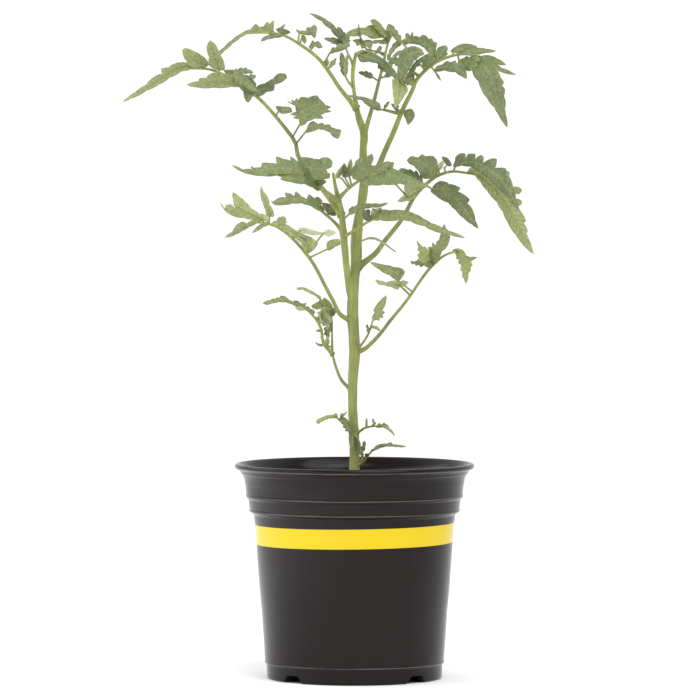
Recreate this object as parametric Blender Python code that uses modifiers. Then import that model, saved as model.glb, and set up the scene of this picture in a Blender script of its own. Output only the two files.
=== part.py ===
"""A young tomato plant in a round nursery pot.

The pot stands on z = 0 with its axis on the z axis. The plant's front faces -Y.
Every leaf is one piece: a petiole with its leaflets, which meets the stem with a small gap.
Routes are written in millimetres and turned into metres by MM.
"""

import math

import bmesh
import bpy
from mathutils import Matrix, Vector, geometry

MM = 0.001
GAP = 0.3 * MM
WELD = 0.002 * MM
CAP_WELD = 0.01 * MM
AXIS_WELD = 0.05 * MM
CRUMB = 1.0 * MM
REACH = 1.4  # how far every written y is stretched towards the front and the back

# Pot
POT_HEIGHT = 114.0 * MM
LIP_RADIUS = 63.5 * MM
LIP_ROLL = 2.6 * MM
LIP_ROLL_HEIGHT = 2.4 * MM
FOOT_RADIUS = 45.3 * MM
FLOOR = 1.6 * MM
POT_STEPS = 48
POT_CREASE = 35  # degrees
DRAIN_COUNT = 4
DRAIN_START = 45  # degrees from +X to the first recess
DRAIN_DEPTH = 6.5 * MM
DRAIN_WIDTH = 12.0 * MM
DRAIN_HEIGHT = 5.0 * MM
DRAIN_SKIN = 1.5 * MM
DRAIN_HOLE = 2.5 * MM
DRAIN_HOLE_INSET = 1.5 * MM
DRAIN_SHELL_LOW = 0.5 * MM
DRAIN_SHELL_INSET = 1.0 * MM
CUT_PAST = 8.0 * MM

# Potting mix
MIX_TOP = 100.0 * MM
MIX_CROWN = 1.5 * MM
MIX_FLOOR = 2.0 * MM
MIX_STEPS = 32
MIX_INSET = 1.6 * GAP

# Leaflets
STALK_HALF = 0.45 * MM
TIP_HALF = 0.25 * MM
BLADE_HALF = 0.35 * MM
SHORT_STALK = 1.5 * MM
STALK_END = 0.8
LAST_SEAT = 0.8
LEAF_CREASE = 40  # degrees
EDGE_DROOP = 0.12
BLADE_OUTLINE = ((0.0, 0.1), (0.22, 0.86), (0.5, 1.0), (0.78, 0.58), (1.0, 0.05))
TUBE_SPACING = 9.0 * MM

# Stem: centre line in mm and half thickness in mm at each point
STEM_ROUTE = (
    ((0, 0, 82), 2.3), ((0, 0, 98), 2.6), ((0, 0, 111), 2.8), ((0, 0, 126), 2.6),
    ((-1, 0, 142), 2.5), ((-1, 0, 158), 2.6), ((0, 0, 174), 3.0), ((-1, 0, 195), 3.0),
    ((0, 0, 211), 2.6), ((1, 0, 221), 3.0), ((1, 0, 232), 3.0), ((2, 0, 242), 2.6),
    ((4, 0, 253), 2.4), ((5, 0, 264), 2.4), ((4.5, 0, 280), 2.0), ((5, 0, 288), 2.1),
    ((2.5, 0, 296), 1.7), ((1, 0, 302), 1.4), ((0, 0, 309), 1.0), ((-1, 0, 317), 1.0),
    ((-0.5, 0, 324.5), 1.0), ((1, 0, 331.5), 0.9),
)
STEM_BRANCH_ROUTE = (
    ((-0.5, 0, 197), 1.8), ((-2.5, -1, 205), 1.8), ((-4, -3, 216), 1.8), ((-5, -4, 227), 1.8),
    ((-6, -4.5, 237), 1.9), ((-7, -5, 248), 1.5), ((-8.5, -5, 254), 1.4), ((-10, -5, 260), 1.0),
    ((-11.5, -5, 268), 0.7),
)

# A leaf has a route for its petiole, half thicknesses at its two ends and its leaflets:
# (foot of the blade, tip, width, turn towards the front in degrees, arch of the midrib).
LEAVES = {
    "arching_left_leaf": {
        "route": ((1, 0, 302), (-2.4, -2, 306), (-7.7, -5, 312.4), (-18, -13, 327),
                  (-29, -19, 335.7), (-39.5, -25, 341), (-53, -30, 342)),
        "half": (1.5, 0.55),
        "leaflets": (
            ((-52, -30, 342), (-76, -39, 327.5), 7, 10, 3.5),
            ((-41, -26, 341.5), (-56, -21, 345), 12, 55, 1),
            ((-38, -25, 340.8), (-50, -31, 337.5), 6, 20, 1),
            ((-29, -17, 342.5), (-19.5, -11, 341.5), 7, 60, 2),
            ((-23, -15, 335), (-17.8, -12, 334.6), 4, 60, 0.5),
            ((-13, -9, 331.5), (-2.5, -7, 336), 6, 45, 1),
            ((-14.5, -11, 324), (-15, -14, 329), 4, 80, 0.3),
            ((-11.5, -8.5, 322), (-7.5, -10.5, 329.5), 3, 70, 0.3),
        ),
    },
    "upper_left_leaf": {
        "route": ((-7, -5, 245.5), (-14.5, 1.5, 256), (-21.5, 6, 265), (-29, 10, 275), (-30.5, 11, 279.5),
                  (-32.6, 13, 286), (-45.8, 21, 302.3), (-55.4, 27, 311), (-66, 31, 318),
                  (-76.6, 35, 322.4), (-87, 37, 323)),
        "half": (1.6, 0.6),
        "leaflets": (
            ((-86, 37, 323), (-122, 42, 306), 12, 45, 6),
            ((-80, 36, 323), (-90, 31, 333.6), 13, 75, 2),
            ((-73, 34, 321.5), (-76.6, 27, 337.8), 9, 80, 1.5),
            ((-58, 26, 313.5), (-89, 13, 314.2), 12, 60, 2.5),
            ((-62, 29, 316.5), (-56.4, 17, 305), 15, 85, 2),
            ((-54, 26, 310), (-36, 17, 318.7), 9, 40, 1),
            ((-65, 31, 320), (-53.5, 36, 320.3), 5, 10, 1),
            ((-39.5, 17, 301.5), (-32, 11, 302.3), 4.5, 35, 1),
            ((-29, 8, 295), (-20, 2, 308), 20, 75, 1),
            ((-24.5, 6, 291.5), (-7, -6, 289.7), 9, 50, 3),
        ),
    },
    "middle_left_leaf": {
        "route": ((-8.4, -5, 253), (-15.6, -9, 258), (-22.5, -13, 262), (-29, -16, 265.7),
                  (-37, -20, 267.3), (-45, -24, 267.5)),
        "half": (1.2, 0.55),
        "leaflets": (
            ((-44, -23.5, 267.5), (-64.4, -31, 272), 9, 55, -1.5),
            ((-30, -16.5, 267), (-48, -20, 273.5), 12, 65, 1),
            ((-28, -14.5, 267), (-12.5, -21, 273), 14, 70, 2),
            ((-21, -12, 262), (-15, -15, 263.5), 4, 40, 0.5),
            ((-24, -14, 263), (-39.5, -26, 265), 7, 40, 1),
        ),
    },
    "small_left_leaf": {
        "route": ((-6, -4.5, 236), (-10.3, -1, 241.3), (-15.6, 3, 246), (-21, 7, 249.8), (-29, 11, 252.6)),
        "half": (1.0, 0.5),
        "leaflets": (
            ((-28, 10.5, 252.4), (-43.7, 17, 252.3), 10, 55, 2),
            ((-22, 7.5, 250.5), (-24, 4, 256.5), 7, 75, 0.5),
            ((-15, 2.5, 245.8), (-13.5, 7, 252.5), 8, 70, 0.5),
        ),
    },
    "low_left_leaf": {
        "route": ((-1, 0, 189), (-7.7, -3, 193), (-11.4, -7, 200), (-15.6, -11, 208), (-22, -17, 220),
                  (-30.5, -23, 230.7), (-38.4, -27, 237.6), (-45, -30, 240.6), (-54, -34, 242)),
        "half": (1.3, 0.6),
        "leaflets": (
            ((-53, -34, 242), (-68.6, -42, 234), 7, 35, 2),
            ((-48, -31.6, 242.3), (-71.3, -38, 252.5), 12, 80, -1.5),
            ((-52, -32, 246.5), (-64, -35, 257.2), 9, 80, 0.5),
            ((-43.7, -29, 243), (-49.6, -24, 260.4), 7, 70, 0.5),
            ((-44, -30, 240.5), (-54.5, -25, 236.6), 4, 20, 0.8),
            ((-40, -27, 240.5), (-37, -20, 244.5), 5, 50, 0.5),
            ((-25, -18.5, 226.5), (-36, -15, 241), 10, 80, -1),
            ((-13.5, -21, 226.5), (-7.5, -24, 232), 6, 70, 0.5),
            ((-38, -26, 238.2), (-11, -13, 236), 5, 50, 1),
        ),
    },
    "front_centre_leaf": {
        "route": ((-8.5, -5, 254), (-4, -9, 258.8), (0.8, -14, 262.5), (5.5, -19, 265.7), (13.5, -25, 268)),
        "half": (1.0, 0.55),
        "leaflets": (
            ((5, -18.5, 265.5), (40, -36, 261), 14, 68, 4),
            ((3.5, -17, 265), (9, -20, 277.5), 12, 80, 1),
            ((11, -23, 267.5), (19.5, -28, 273.5), 6, 75, 0.5),
            ((-7, -10, 265), (-5, -12, 273.5), 6, 65, 0.5),
            ((-6.5, -10, 265), (4, -12.5, 270), 4, 55, 0.5),
        ),
    },
    "middle_right_leaf": {
        "route": ((2, 0, 218), (10.9, 2, 225), (16, 4, 231.8), (25.2, 8, 243.5), (32, 11, 255.6),
                  (40, 14, 263.6), (45.3, 15, 266.8), (52, 16, 268.5), (61, 18, 267.5)),
        "half": (1.6, 0.6),
        "leaflets": (
            ((60, 17.8, 267.5), (94.6, 26, 225), 15, 50, 6),
            ((56, 13, 272), (87, 12, 247.7), 15, 60, 6.5),
            ((68, 21, 268), (88, 23, 253), 10, 55, 3),
            ((54, 14.5, 271.5), (57.5, 9, 278.5), 10, 75, 0.5),
            ((60, 14, 272), (75, 9, 275), 9, 65, 1),
            ((41, 10, 261), (65.5, -6, 238), 14, 70, 3),
            ((39, 12.5, 266), (29, 2, 275.5), 15, 75, 2),
            ((47.5, 15, 270), (46.4, 12, 276.5), 5, 60, 0.5),
            ((37.5, 11.5, 262), (24, 3, 269), 11, 60, 1),
            ((31.5, 7.5, 257.5), (27, 3, 251), 8, 75, 0.5),
            ((20.5, 1, 263), (12.5, 6, 268), 8, 65, 0.5),
        ),
    },
    "crossing_leaf": {
        "route": ((-5.5, -4.5, 234), (0.3, -9, 237.6), (4.5, -12, 240.3), (8.2, -14, 242.4),
                  (13.5, -17, 244.5), (24, -21.5, 245.8)),
        "half": (0.8, 0.55),
        "leaflets": (
            ((23, -21, 245.7), (58.6, -36, 234), 7, 40, 3.5),
            ((12.6, -16.4, 244.4), (34, -26, 245.5), 9, 45, 2),
            ((7.7, -13.5, 242.5), (4.5, -19, 248), 7, 65, 0.3),
            ((9.5, -14.5, 243), (13.5, -20, 250), 8, 65, 0.3),
        ),
    },
    "small_front_leaf": {
        "route": ((-6.5, -5, 242.5), (-5, -6.6, 244.4), (-2.4, -8.5, 246)),
        "half": (0.6, 0.5),
        "leaflets": (
            ((-3, -8, 245.8), (17.8, -9, 251.8), 6, 45, 1),
            ((-2.8, -8.2, 246), (5, -10.5, 249.5), 6, 70, 0.5),
        ),
    },
    "thin_side_leaf": {
        "route": ((1, 0, 231), (4.5, -5, 232), (8, -8, 233.3)),
        "half": (0.6, 0.45),
        "leaflets": (
            ((7, -7, 233), (22, -12, 226), 3, 20, 1.5),
        ),
    },
    "low_right_leaf": {
        "route": ((0, 0, 172.5), (6, -1, 175), (13.5, -3, 182.5), (18.8, -5, 189.4), (27.8, -8, 200.5),
                  (37.4, -10, 214.3), (42.7, -11, 220), (46.4, -12, 223.3), (50.6, -13, 225.4),
                  (54.5, -13, 226)),
        "half": (1.2, 0.5),
        "leaflets": (
            ((54, -13, 226), (58.6, -17, 209.5), 9, 50, 2.5),
            ((56, -13.5, 223), (64.4, -12, 223), 3.5, 60, 0.3),
            ((41, -11, 220), (33.1, -16, 231.8), 9, 75, 0.5),
            ((45, -12, 224), (47.4, -18, 240.8), 8, 75, 0.5),
            ((42, -11.5, 221.5), (41.6, -16, 232), 9, 75, 0.5),
            ((36, -12, 217), (30, -18, 221.5), 7, 50, 0.5),
            ((23.6, -6.5, 209), (9, -10, 220), 9, 65, 0.5),
            ((23.6, -3.5, 205.8), (11.4, 2, 210.6), 5, 50, 0.5),
        ),
    },
    "upper_right_leaf": {
        "route": ((5, 0, 262), (11.4, -3, 268.9), (16.2, -5, 279.5), (20.9, -7, 290), (25.2, -9, 300.7),
                  (30.5, -12, 311.3), (32.6, -14, 316.6), (37.4, -16, 321.9), (42.7, -18, 326),
                  (49, -19, 328.8), (56, -20, 330.5), (64.5, -21, 330)),
        "half": (1.7, 0.6),
        "leaflets": (
            ((64, -21, 330), (80.8, -26, 291.7), 15, 60, 6),
            ((58, -20, 331), (85, -14, 319), 13, 45, 4),
            ((54, -19, 331), (65, -14, 335), 6, 40, 0.5),
            ((41, -17.5, 323.5), (60, -28, 317.7), 10, 55, 3),
            ((25.5, -19, 315), (38, -31, 332.5), 16, 85, 1),
            ((25, -18.5, 315), (22, -25, 303.9), 9, 85, 1),
            ((41, -17.5, 327), (26, -11, 339), 14, 60, 3),
            ((27.5, -17, 322), (18, -13, 334), 9, 70, 1),
            ((43.5, -18, 328), (48.5, -12, 335), 9, 65, 0.5),
            ((25.7, -9.3, 299.5), (29, -14, 293.5), 8, 80, 0.3),
            ((12.5, -12, 300.7), (-4, -16, 308.6), 7, 50, 1),
        ),
    },
    "right_shoot": {
        "route": ((1, 0, 177), (5.5, -5, 180), (7.7, -8, 183.5), (9.3, -10, 188.5)),
        "half": (0.7, 0.5),
        "leaflets": (
            ((9, -9.7, 188), (16.7, -14, 203), 8, 80, 0.5),
            ((7.8, -8.3, 185), (6, -12, 188.5), 2.4, 60, 0.2),
        ),
    },
    "left_shoot": {
        "route": ((-1, 0, 152), (-6.6, 3, 157.6), (-9.3, 6, 163), (-11.4, 8, 169.3), (-12.5, 10, 174.6),
                  (-12.2, 12, 181.5), (-12, 13, 187)),
        "half": (0.9, 0.5),
        "leaflets": (
            ((-12, 13, 186.5), (-19.3, 5, 200.5), 9, 65, 1),
            ((-12, 13, 187), (-12, 8, 200.5), 8, 80, 0.5),
            ((-12.2, 12, 183), (-21.5, 8, 192), 8, 60, 0.5),
        ),
    },
    "left_shoot_long": {
        "route": ((-1, 0, 165), (-6, 2, 171), (-11, 4, 176), (-15.5, 3, 182), (-21, 2, 190),
                  (-26.8, 0, 196)),
        "half": (0.8, 0.5),
        "leaflets": (
            ((-26, 0.3, 195.3), (-48.5, -7, 199), 7, 60, 2),
            ((-19, 2, 190), (-30.5, 8, 206), 4, 50, 0.5),
        ),
    },
    "base_leaf_left": {
        "route": ((0, 0, 128), (-4, -3, 133), (-7.7, -5, 136.6), (-11, -7, 138.6)),
        "half": (0.8, 0.5),
        "leaflets": (
            ((-10, -6.5, 138.2), (-20, -13, 135.5), 5, 45, 1.5),
            ((-4.3, -3.2, 133), (-6, -8, 138.5), 7, 70, 0.3),
        ),
    },
    "base_leaf_right": {
        "route": ((0, 0, 128.5), (5, -3, 132), (9.3, -5, 133.4), (14, -7, 133.8)),
        "half": (0.7, 0.5),
        "leaflets": (
            ((13, -6.6, 133.8), (21.5, -13, 128), 4.5, 50, 1),
            ((10, -5.4, 133.5), (17.8, -4, 135), 4, 60, 0.3),
        ),
    },
    "base_leaf_low": {
        "route": ((0, 0, 112.5), (5, -2, 116), (8, -3, 119.5), (11, -4, 121.5), (16, -6, 123)),
        "half": (0.7, 0.5),
        "leaflets": (
            ((15, -5.5, 122.8), (27.3, -11, 122.6), 4, 35, 1),
        ),
    },
    "base_leaf_small": {
        "route": ((0, 0, 118), (2.6, 2.5, 119.5), (4.2, 4, 121)),
        "half": (0.6, 0.45),
        "leaflets": (
            ((4, 3.8, 120.8), (6, 3, 126.5), 3.5, 75, 0.3),
        ),
    },
    "tip_leaf_left": {
        "route": ((-0.5, 0, 324.5), (-3.5, 2.5, 331), (-5.6, 3.5, 336.2)),
        "half": (0.7, 0.5),
        "leaflets": (
            ((-5.5, 3.5, 336), (-24, 6, 352), 4, 20, 4.5),
            ((-5.6, 3, 336), (-8.8, -2, 344.7), 7, 75, 0.5),
            ((-5, 3, 334.5), (-3.5, -2.5, 341), 6, 65, 0.3),
            ((-5.6, 3.2, 335.8), (-15.6, -1, 339), 3.5, 50, 0.5),
        ),
    },
    "tip_leaf_upright": {
        "route": ((-1, 0, 313.5), (-3.3, -2.5, 316), (-5, -4, 319)),
        "half": (0.6, 0.5),
        "leaflets": (
            ((-4.8, -3.8, 318.6), (-3.5, -8, 330.5), 5, 75, 0.4),
            ((-4.9, -3.6, 318.4), (-7, -2.5, 331.5), 4, 60, 0.4),
        ),
    },
    "tip_leaf_right": {
        "route": ((1, 0, 330), (4, 1.5, 332.2), (8.2, 2.5, 331.6), (13.5, 3, 328.5), (20, 3.5, 324)),
        "half": (0.7, 0.5),
        "leaflets": (
            ((5, 1.8, 332.2), (28.5, 4, 312.5), 9, 40, 5),
            ((15, 3, 326.5), (19.5, -2, 319.5), 6, 65, 1),
        ),
    },
    "top_leaf": {
        "route": ((5, 0, 287), (7.2, 4, 295), (9.4, 6.5, 302.5), (11.4, 8.5, 310), (13, 10, 316.6),
                  (15, 14, 324.5), (16.7, 18, 332.5), (17.8, 20, 336.7)),
        "half": (1.3, 0.55),
        "leaflets": (
            ((17.2, 19.3, 336), (-4.5, 14, 340.5), 10, 65, 2),
            ((17.2, 19.3, 335.8), (9.3, 15, 348.4), 9, 80, 0.5),
            ((17.4, 19.6, 336), (18.6, 17, 346.5), 8, 80, 0.5),
            ((10, 8, 318), (2, 4.5, 320.9), 4, 35, 0.7),
            ((15.6, 9, 318.5), (19.5, 6, 320), 3, 50, 0.3),
        ),
    },
}


def millimetres(point):
    """A written point in metres, with the plant's reach towards its front and back."""
    x, y, z = point
    return Vector((x, y * REACH, z)) * MM


def clear_scene():
    for obj in list(bpy.data.objects):
        bpy.data.objects.remove(obj, do_unlink=True)


def new_collection(name, cutters=False):
    made = bpy.data.collections.new(name)
    bpy.context.scene.collection.children.link(made)
    made.hide_render = cutters
    return made


def new_material(name, colour, roughness):
    made = bpy.data.materials.new(name)
    made.use_nodes = True
    shader = made.node_tree.nodes["Principled BSDF"]
    shader.inputs["Base Color"].default_value = (*colour, 1.0)
    shader.inputs["Roughness"].default_value = roughness
    shader.inputs["Metallic"].default_value = 0.0
    return made


def place(obj, collection):
    collection.objects.link(obj)
    if collection is CUTTERS:
        obj.hide_render = True
        obj.display_type = "WIRE"
    return obj


def mesh_object(name, bm, collection):
    mesh = bpy.data.meshes.new(name)
    bm.to_mesh(mesh)
    bm.free()
    return place(bpy.data.objects.new(name, mesh), collection)


def smooth_route(points, values, spacing):
    """Even points along a smooth curve through the given points, with a value for each."""
    points = [Vector(p) for p in points]
    closed_ends = [2 * points[0] - points[1]] + points + [2 * points[-1] - points[-2]]
    fine = []
    for i in range(len(points) - 1):
        p0, p1, p2, p3 = closed_ends[i:i + 4]
        pieces = max(1, round((p2 - p1).length / spacing))
        for k in range(pieces):
            t = k / pieces
            bend = (2 * p1 + (p2 - p0) * t + (2 * p0 - 5 * p1 + 4 * p2 - p3) * t ** 2
                    + (3 * p1 - p0 - 3 * p2 + p3) * t ** 3)
            fine.append((bend / 2, values[i] + (values[i + 1] - values[i]) * t))
    fine.append((points[-1], values[-1]))
    return fine


def tube(name, route, collection, sides_step=1):
    """A tapering tube along (point, half thickness) pairs, as a closed mesh."""
    curve = bpy.data.curves.new(name, "CURVE")
    curve.dimensions = "3D"
    curve.bevel_depth = 1.0
    curve.bevel_resolution = sides_step
    curve.use_fill_caps = True
    spline = curve.splines.new("POLY")
    spline.points.add(len(route) - 1)
    for place_on, (point, half) in zip(spline.points, route):
        place_on.co = (*point, 1.0)
        place_on.radius = half
    guide = bpy.data.objects.new(name, curve)
    bpy.context.scene.collection.objects.link(guide)
    graph = bpy.context.evaluated_depsgraph_get()
    mesh = bpy.data.meshes.new_from_object(guide.evaluated_get(graph))
    bpy.data.objects.remove(guide)
    bm = bmesh.new()
    bm.from_mesh(mesh)
    bmesh.ops.remove_doubles(bm, verts=bm.verts, dist=CAP_WELD)
    bmesh.ops.recalc_face_normals(bm, faces=bm.faces)
    return mesh_object(name, bm, collection)


def boolean(obj, other, operation):
    step = obj.modifiers.new(operation.title(), "BOOLEAN")
    step.operation = operation
    step.solver = "EXACT"
    step.use_self = True
    step.object = other


def drop_crumbs(bm):
    """Removes the loose specks, smaller than CRUMB, that a Boolean can leave beside a body."""
    left = set(bm.faces)
    crumbs = []
    while left:
        island = [left.pop()]
        for face in island:
            for near in [f for edge in face.edges for f in edge.link_faces if f in left]:
                if near in left:
                    left.remove(near)
                    island.append(near)
        corners = [vert.co for face in island for vert in face.verts]
        spans = [max(c[k] for c in corners) - min(c[k] for c in corners) for k in range(3)]
        if max(spans) < CRUMB:
            crumbs += island
    bmesh.ops.delete(bm, geom=crumbs, context="FACES")


def bake(obj, helpers=()):
    """Turns the object's modifiers into its own clean mesh and removes the helpers they used."""
    graph = bpy.context.evaluated_depsgraph_get()
    mesh = bpy.data.meshes.new_from_object(obj.evaluated_get(graph))
    bm = bmesh.new()
    bm.from_mesh(mesh)
    bmesh.ops.triangulate(bm, faces=bm.faces)
    bmesh.ops.remove_doubles(bm, verts=bm.verts, dist=WELD)
    bmesh.ops.dissolve_degenerate(bm, edges=bm.edges, dist=WELD)
    drop_crumbs(bm)
    bm.to_mesh(mesh)
    bm.free()
    obj.modifiers.clear()
    obj.data = mesh
    for helper in helpers:
        bpy.data.objects.remove(helper)


def turned(name, profile, steps, collection):
    """A profile of (radius, height) points turned about the z axis."""
    mesh = bpy.data.meshes.new(name)
    points = [(radius, 0.0, height) for radius, height in profile]
    mesh.from_pydata(points, [(i, i + 1) for i in range(len(points) - 1)], [])
    obj = place(bpy.data.objects.new(name, mesh), collection)
    screw = obj.modifiers.new("Screw", "SCREW")
    screw.axis = "Z"
    screw.steps = steps
    screw.render_steps = steps
    screw.use_merge_vertices = True
    screw.merge_threshold = AXIS_WELD
    return obj


def pot_outer_profile():
    """The outer side from the top of the lip to the foot: rolled lip, collar, two steps, foot."""
    lip = [
        (LIP_RADIUS - LIP_ROLL + LIP_ROLL * math.cos(math.radians(a)),
         POT_HEIGHT - LIP_ROLL_HEIGHT + LIP_ROLL_HEIGHT * math.sin(math.radians(a)))
        for a in (90, 60, 30, 0, -35)
    ]
    wall = ((60.6, 109.8), (59.6, 107.4), (58.9, 106.2), (57.0, 96.2), (56.9, 95.2), (55.6, 94.4),
            (54.9, 88.2), (54.8, 87.4), (53.7, 86.6), (51.2, 62.0), (48.6, 36.0), (46.8, 14.0),
            (46.4, 8.2), (45.8, 7.6))
    return lip + [(r * MM, z * MM) for r, z in wall] + [(FOOT_RADIUS, 0.0)]


def pot_inner_profile():
    """The inner side from the floor's middle up to the lip."""
    wall = ((FOOT_RADIUS / MM - 1.2, 1.6), (45.2, 14.0), (47.3, 36.0), (49.9, 62.0), (52.4, 86.0),
            (54.3, 94.0), (55.7, 96.6), (57.9, 107.0), (59.0, 112.4), (60.0, 113.7))
    return [(0.0, FLOOR)] + [(r * MM, z * MM) for r, z in wall]


def drain_turn(k):
    return Matrix.Rotation(math.radians(DRAIN_START + 360 / DRAIN_COUNT * k), 4, "Z")


def drain_boxes(name, inner, width, low, high, outer):
    """A box at the foot for each drain recess, as one set of solids."""
    bm = bmesh.new()
    for k in range(DRAIN_COUNT):
        size = Matrix.Diagonal((outer - inner, width, high - low, 1.0))
        middle = Matrix.Translation(((outer + inner) / 2, 0.0, (high + low) / 2))
        bmesh.ops.create_cube(bm, size=1.0, matrix=drain_turn(k) @ middle @ size)
    return mesh_object(name, bm, CUTTERS)


def drain_holes(name):
    """An upright hole through the roof of each drain recess."""
    bm = bmesh.new()
    for k in range(DRAIN_COUNT):
        reach = FOOT_RADIUS - DRAIN_DEPTH + DRAIN_HOLE_INSET
        middle = Matrix.Translation((reach, 0.0, DRAIN_HEIGHT))
        bmesh.ops.create_cone(bm, cap_ends=True, segments=10, radius1=DRAIN_HOLE, radius2=DRAIN_HOLE,
                              depth=3 * DRAIN_SKIN, matrix=drain_turn(k) @ middle)
    return mesh_object(name, bm, CUTTERS)


def make_pot():
    inner = pot_inner_profile()
    pot = turned("pot", inner + pot_outer_profile() + [(0.0, 0.0)], POT_STEPS, PARTS)
    recess = FOOT_RADIUS - DRAIN_DEPTH - DRAIN_SKIN
    shells = drain_boxes("drain_shells", recess, DRAIN_WIDTH + 2 * DRAIN_SKIN,
                         DRAIN_SHELL_LOW, DRAIN_HEIGHT + DRAIN_SKIN, FOOT_RADIUS - DRAIN_SHELL_INSET)
    slots = drain_boxes("drain_slots", FOOT_RADIUS - DRAIN_DEPTH, DRAIN_WIDTH,
                        -CUT_PAST, DRAIN_HEIGHT, FOOT_RADIUS + CUT_PAST)
    holes = drain_holes("drain_holes")
    boolean(pot, shells, "UNION")
    boolean(pot, slots, "DIFFERENCE")
    boolean(pot, holes, "DIFFERENCE")
    bake(pot)
    pot.data.shade_smooth()
    pot.data.set_sharp_from_angle(angle=math.radians(POT_CREASE))
    pot.data.materials.append(new_material("black_plastic", (0.03, 0.026, 0.026), 0.32))


def make_stem():
    """The stem as one piece, and the same shape GAP larger, which clears every seat on it."""
    made = []
    for name, extra, collection in (("stem", 0.0, PARTS), ("stem_clearance", GAP / MM, CUTTERS)):
        tubes = []
        for key, route in (("", STEM_ROUTE), ("_branch", STEM_BRANCH_ROUTE)):
            points = [millimetres(p) for p, half in route]
            points[0] += (points[0] - points[1]).normalized() * extra * MM
            points[-1] += (points[-1] - points[-2]).normalized() * extra * MM
            halves = [(half + extra) * MM for p, half in route]
            tubes.append(tube(name + key, smooth_route(points, halves, TUBE_SPACING), collection, 2))
        boolean(tubes[0], tubes[1], "UNION")
        bake(tubes[0], tubes[1:])
        made.append(tubes[0])
    made[0].data.shade_smooth()
    made[0].data.materials.append(new_material("green_stem", (0.26, 0.31, 0.08), 0.5))
    return made[1]


def make_potting_mix(stem_clearance):
    """The root ball fills the pot up to its top, clear of the wall and of the drain recesses."""
    side = [(r - MIX_INSET, z) for r, z in pot_inner_profile() if FLOOR < z < MIX_TOP]
    foot = (FOOT_RADIUS - 1.3 * MM - 2 * GAP, MIX_FLOOR)
    crown = [(0.0, MIX_TOP + MIX_CROWN), (30 * MM, MIX_TOP + MIX_CROWN * 0.7), (55.6 * MM, MIX_TOP - MM)]
    profile = crown + list(reversed(side)) + [foot, (0.0, MIX_FLOOR)]
    mix = turned("potting_mix", profile, MIX_STEPS, PARTS)
    recess = FOOT_RADIUS - DRAIN_DEPTH - DRAIN_SKIN - GAP
    room = drain_boxes("drain_room", recess, DRAIN_WIDTH + 2 * DRAIN_SKIN + 2 * GAP,
                       -CUT_PAST, DRAIN_HEIGHT + DRAIN_SKIN + GAP, FOOT_RADIUS + CUT_PAST)
    boolean(mix, room, "DIFFERENCE")
    boolean(mix, stem_clearance, "DIFFERENCE")
    bake(mix)
    mix.data.materials.append(new_material("dark_soil", (0.035, 0.024, 0.017), 0.95))


def blade_frame(root, tip, turn):
    """The blade's direction, its face and its width, with the face turned towards the front."""
    along = (tip - root).normalized()
    up = Vector((0, 0, 1)) - along * along.z
    if up.length < 0.05:
        up = Vector((0, -1, 0)) + along * along.y
    up.normalize()
    side = along.cross(up)
    if side.y > 0:
        side.negate()
    angle = math.radians(turn)
    face = up * math.cos(angle) + side * math.sin(angle)
    return along, face, face.cross(along)


def nearest_on_route(route, target):
    """The point of the route's straight pieces that lies nearest to the target."""
    found = []
    for near, far in zip(route, route[1:]):
        share = geometry.intersect_point_line(target, near, far)[1]
        found.append(near.lerp(far, min(1.0, max(0.0, share))))
    return min(found, key=lambda point: (point - target).length)


def ring_axes(heading, face, across):
    """Width and thickness directions of a ring square to the heading, turned least from the blade."""
    if abs(across.dot(heading)) < abs(face.dot(heading)):
        wide = across - heading * across.dot(heading)
    else:
        wide = (face - heading * face.dot(heading)).cross(heading)
    wide.normalize()
    return wide, heading.cross(wide)


def leaflet(name, seats, root, tip, width, turn, arch):
    """A stalk that leaves the rachis and widens into a thin arched blade: a loft of small rings."""
    root, tip = millimetres(root), millimetres(tip)
    start = nearest_on_route(seats, root)
    if (root - start).length < SHORT_STALK:
        root = start
    along, face, across = blade_frame(root, tip, turn)
    length = (tip - root).length
    rings = []
    if root != start:
        heading = (root - start).normalized()
        wide, thick = ring_axes(heading, face, across)
        rings = [
            (start.lerp(root, share), wide * STALK_HALF, thick * STALK_HALF, 0.0)
            for share in (0.0, STALK_END)
        ]
    for part, share in BLADE_OUTLINE:
        centre = root + along * length * part + face * arch * MM * 4 * part * (1 - part)
        half = max(width * MM / 2 * share, STALK_HALF if part < 0.5 else TIP_HALF)
        wide, thick = across, face
        if root != start and part == 0:
            wide, thick = ring_axes((heading + along).normalized(), face, across)
        rings.append((centre, wide * half, thick * BLADE_HALF, half * EDGE_DROOP))
    bm = bmesh.new()
    loops = []
    for centre, wide, thick, droop in rings:
        low = thick.normalized() * droop
        corners = (centre - wide - low, centre - thick, centre + wide - low, centre + thick)
        loops.append([bm.verts.new(corner) for corner in corners])
    bm.faces.new(loops[0])
    bm.faces.new(list(reversed(loops[-1])))
    for near, far in zip(loops, loops[1:]):
        for k in range(4):
            bm.faces.new((near[k], far[k], far[(k + 1) % 4], near[(k + 1) % 4]))
    bmesh.ops.triangulate(bm, faces=bm.faces)
    if bm.calc_volume(signed=True) < 0:
        bmesh.ops.reverse_faces(bm, faces=bm.faces)
    return mesh_object(name, bm, CUTTERS)


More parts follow.
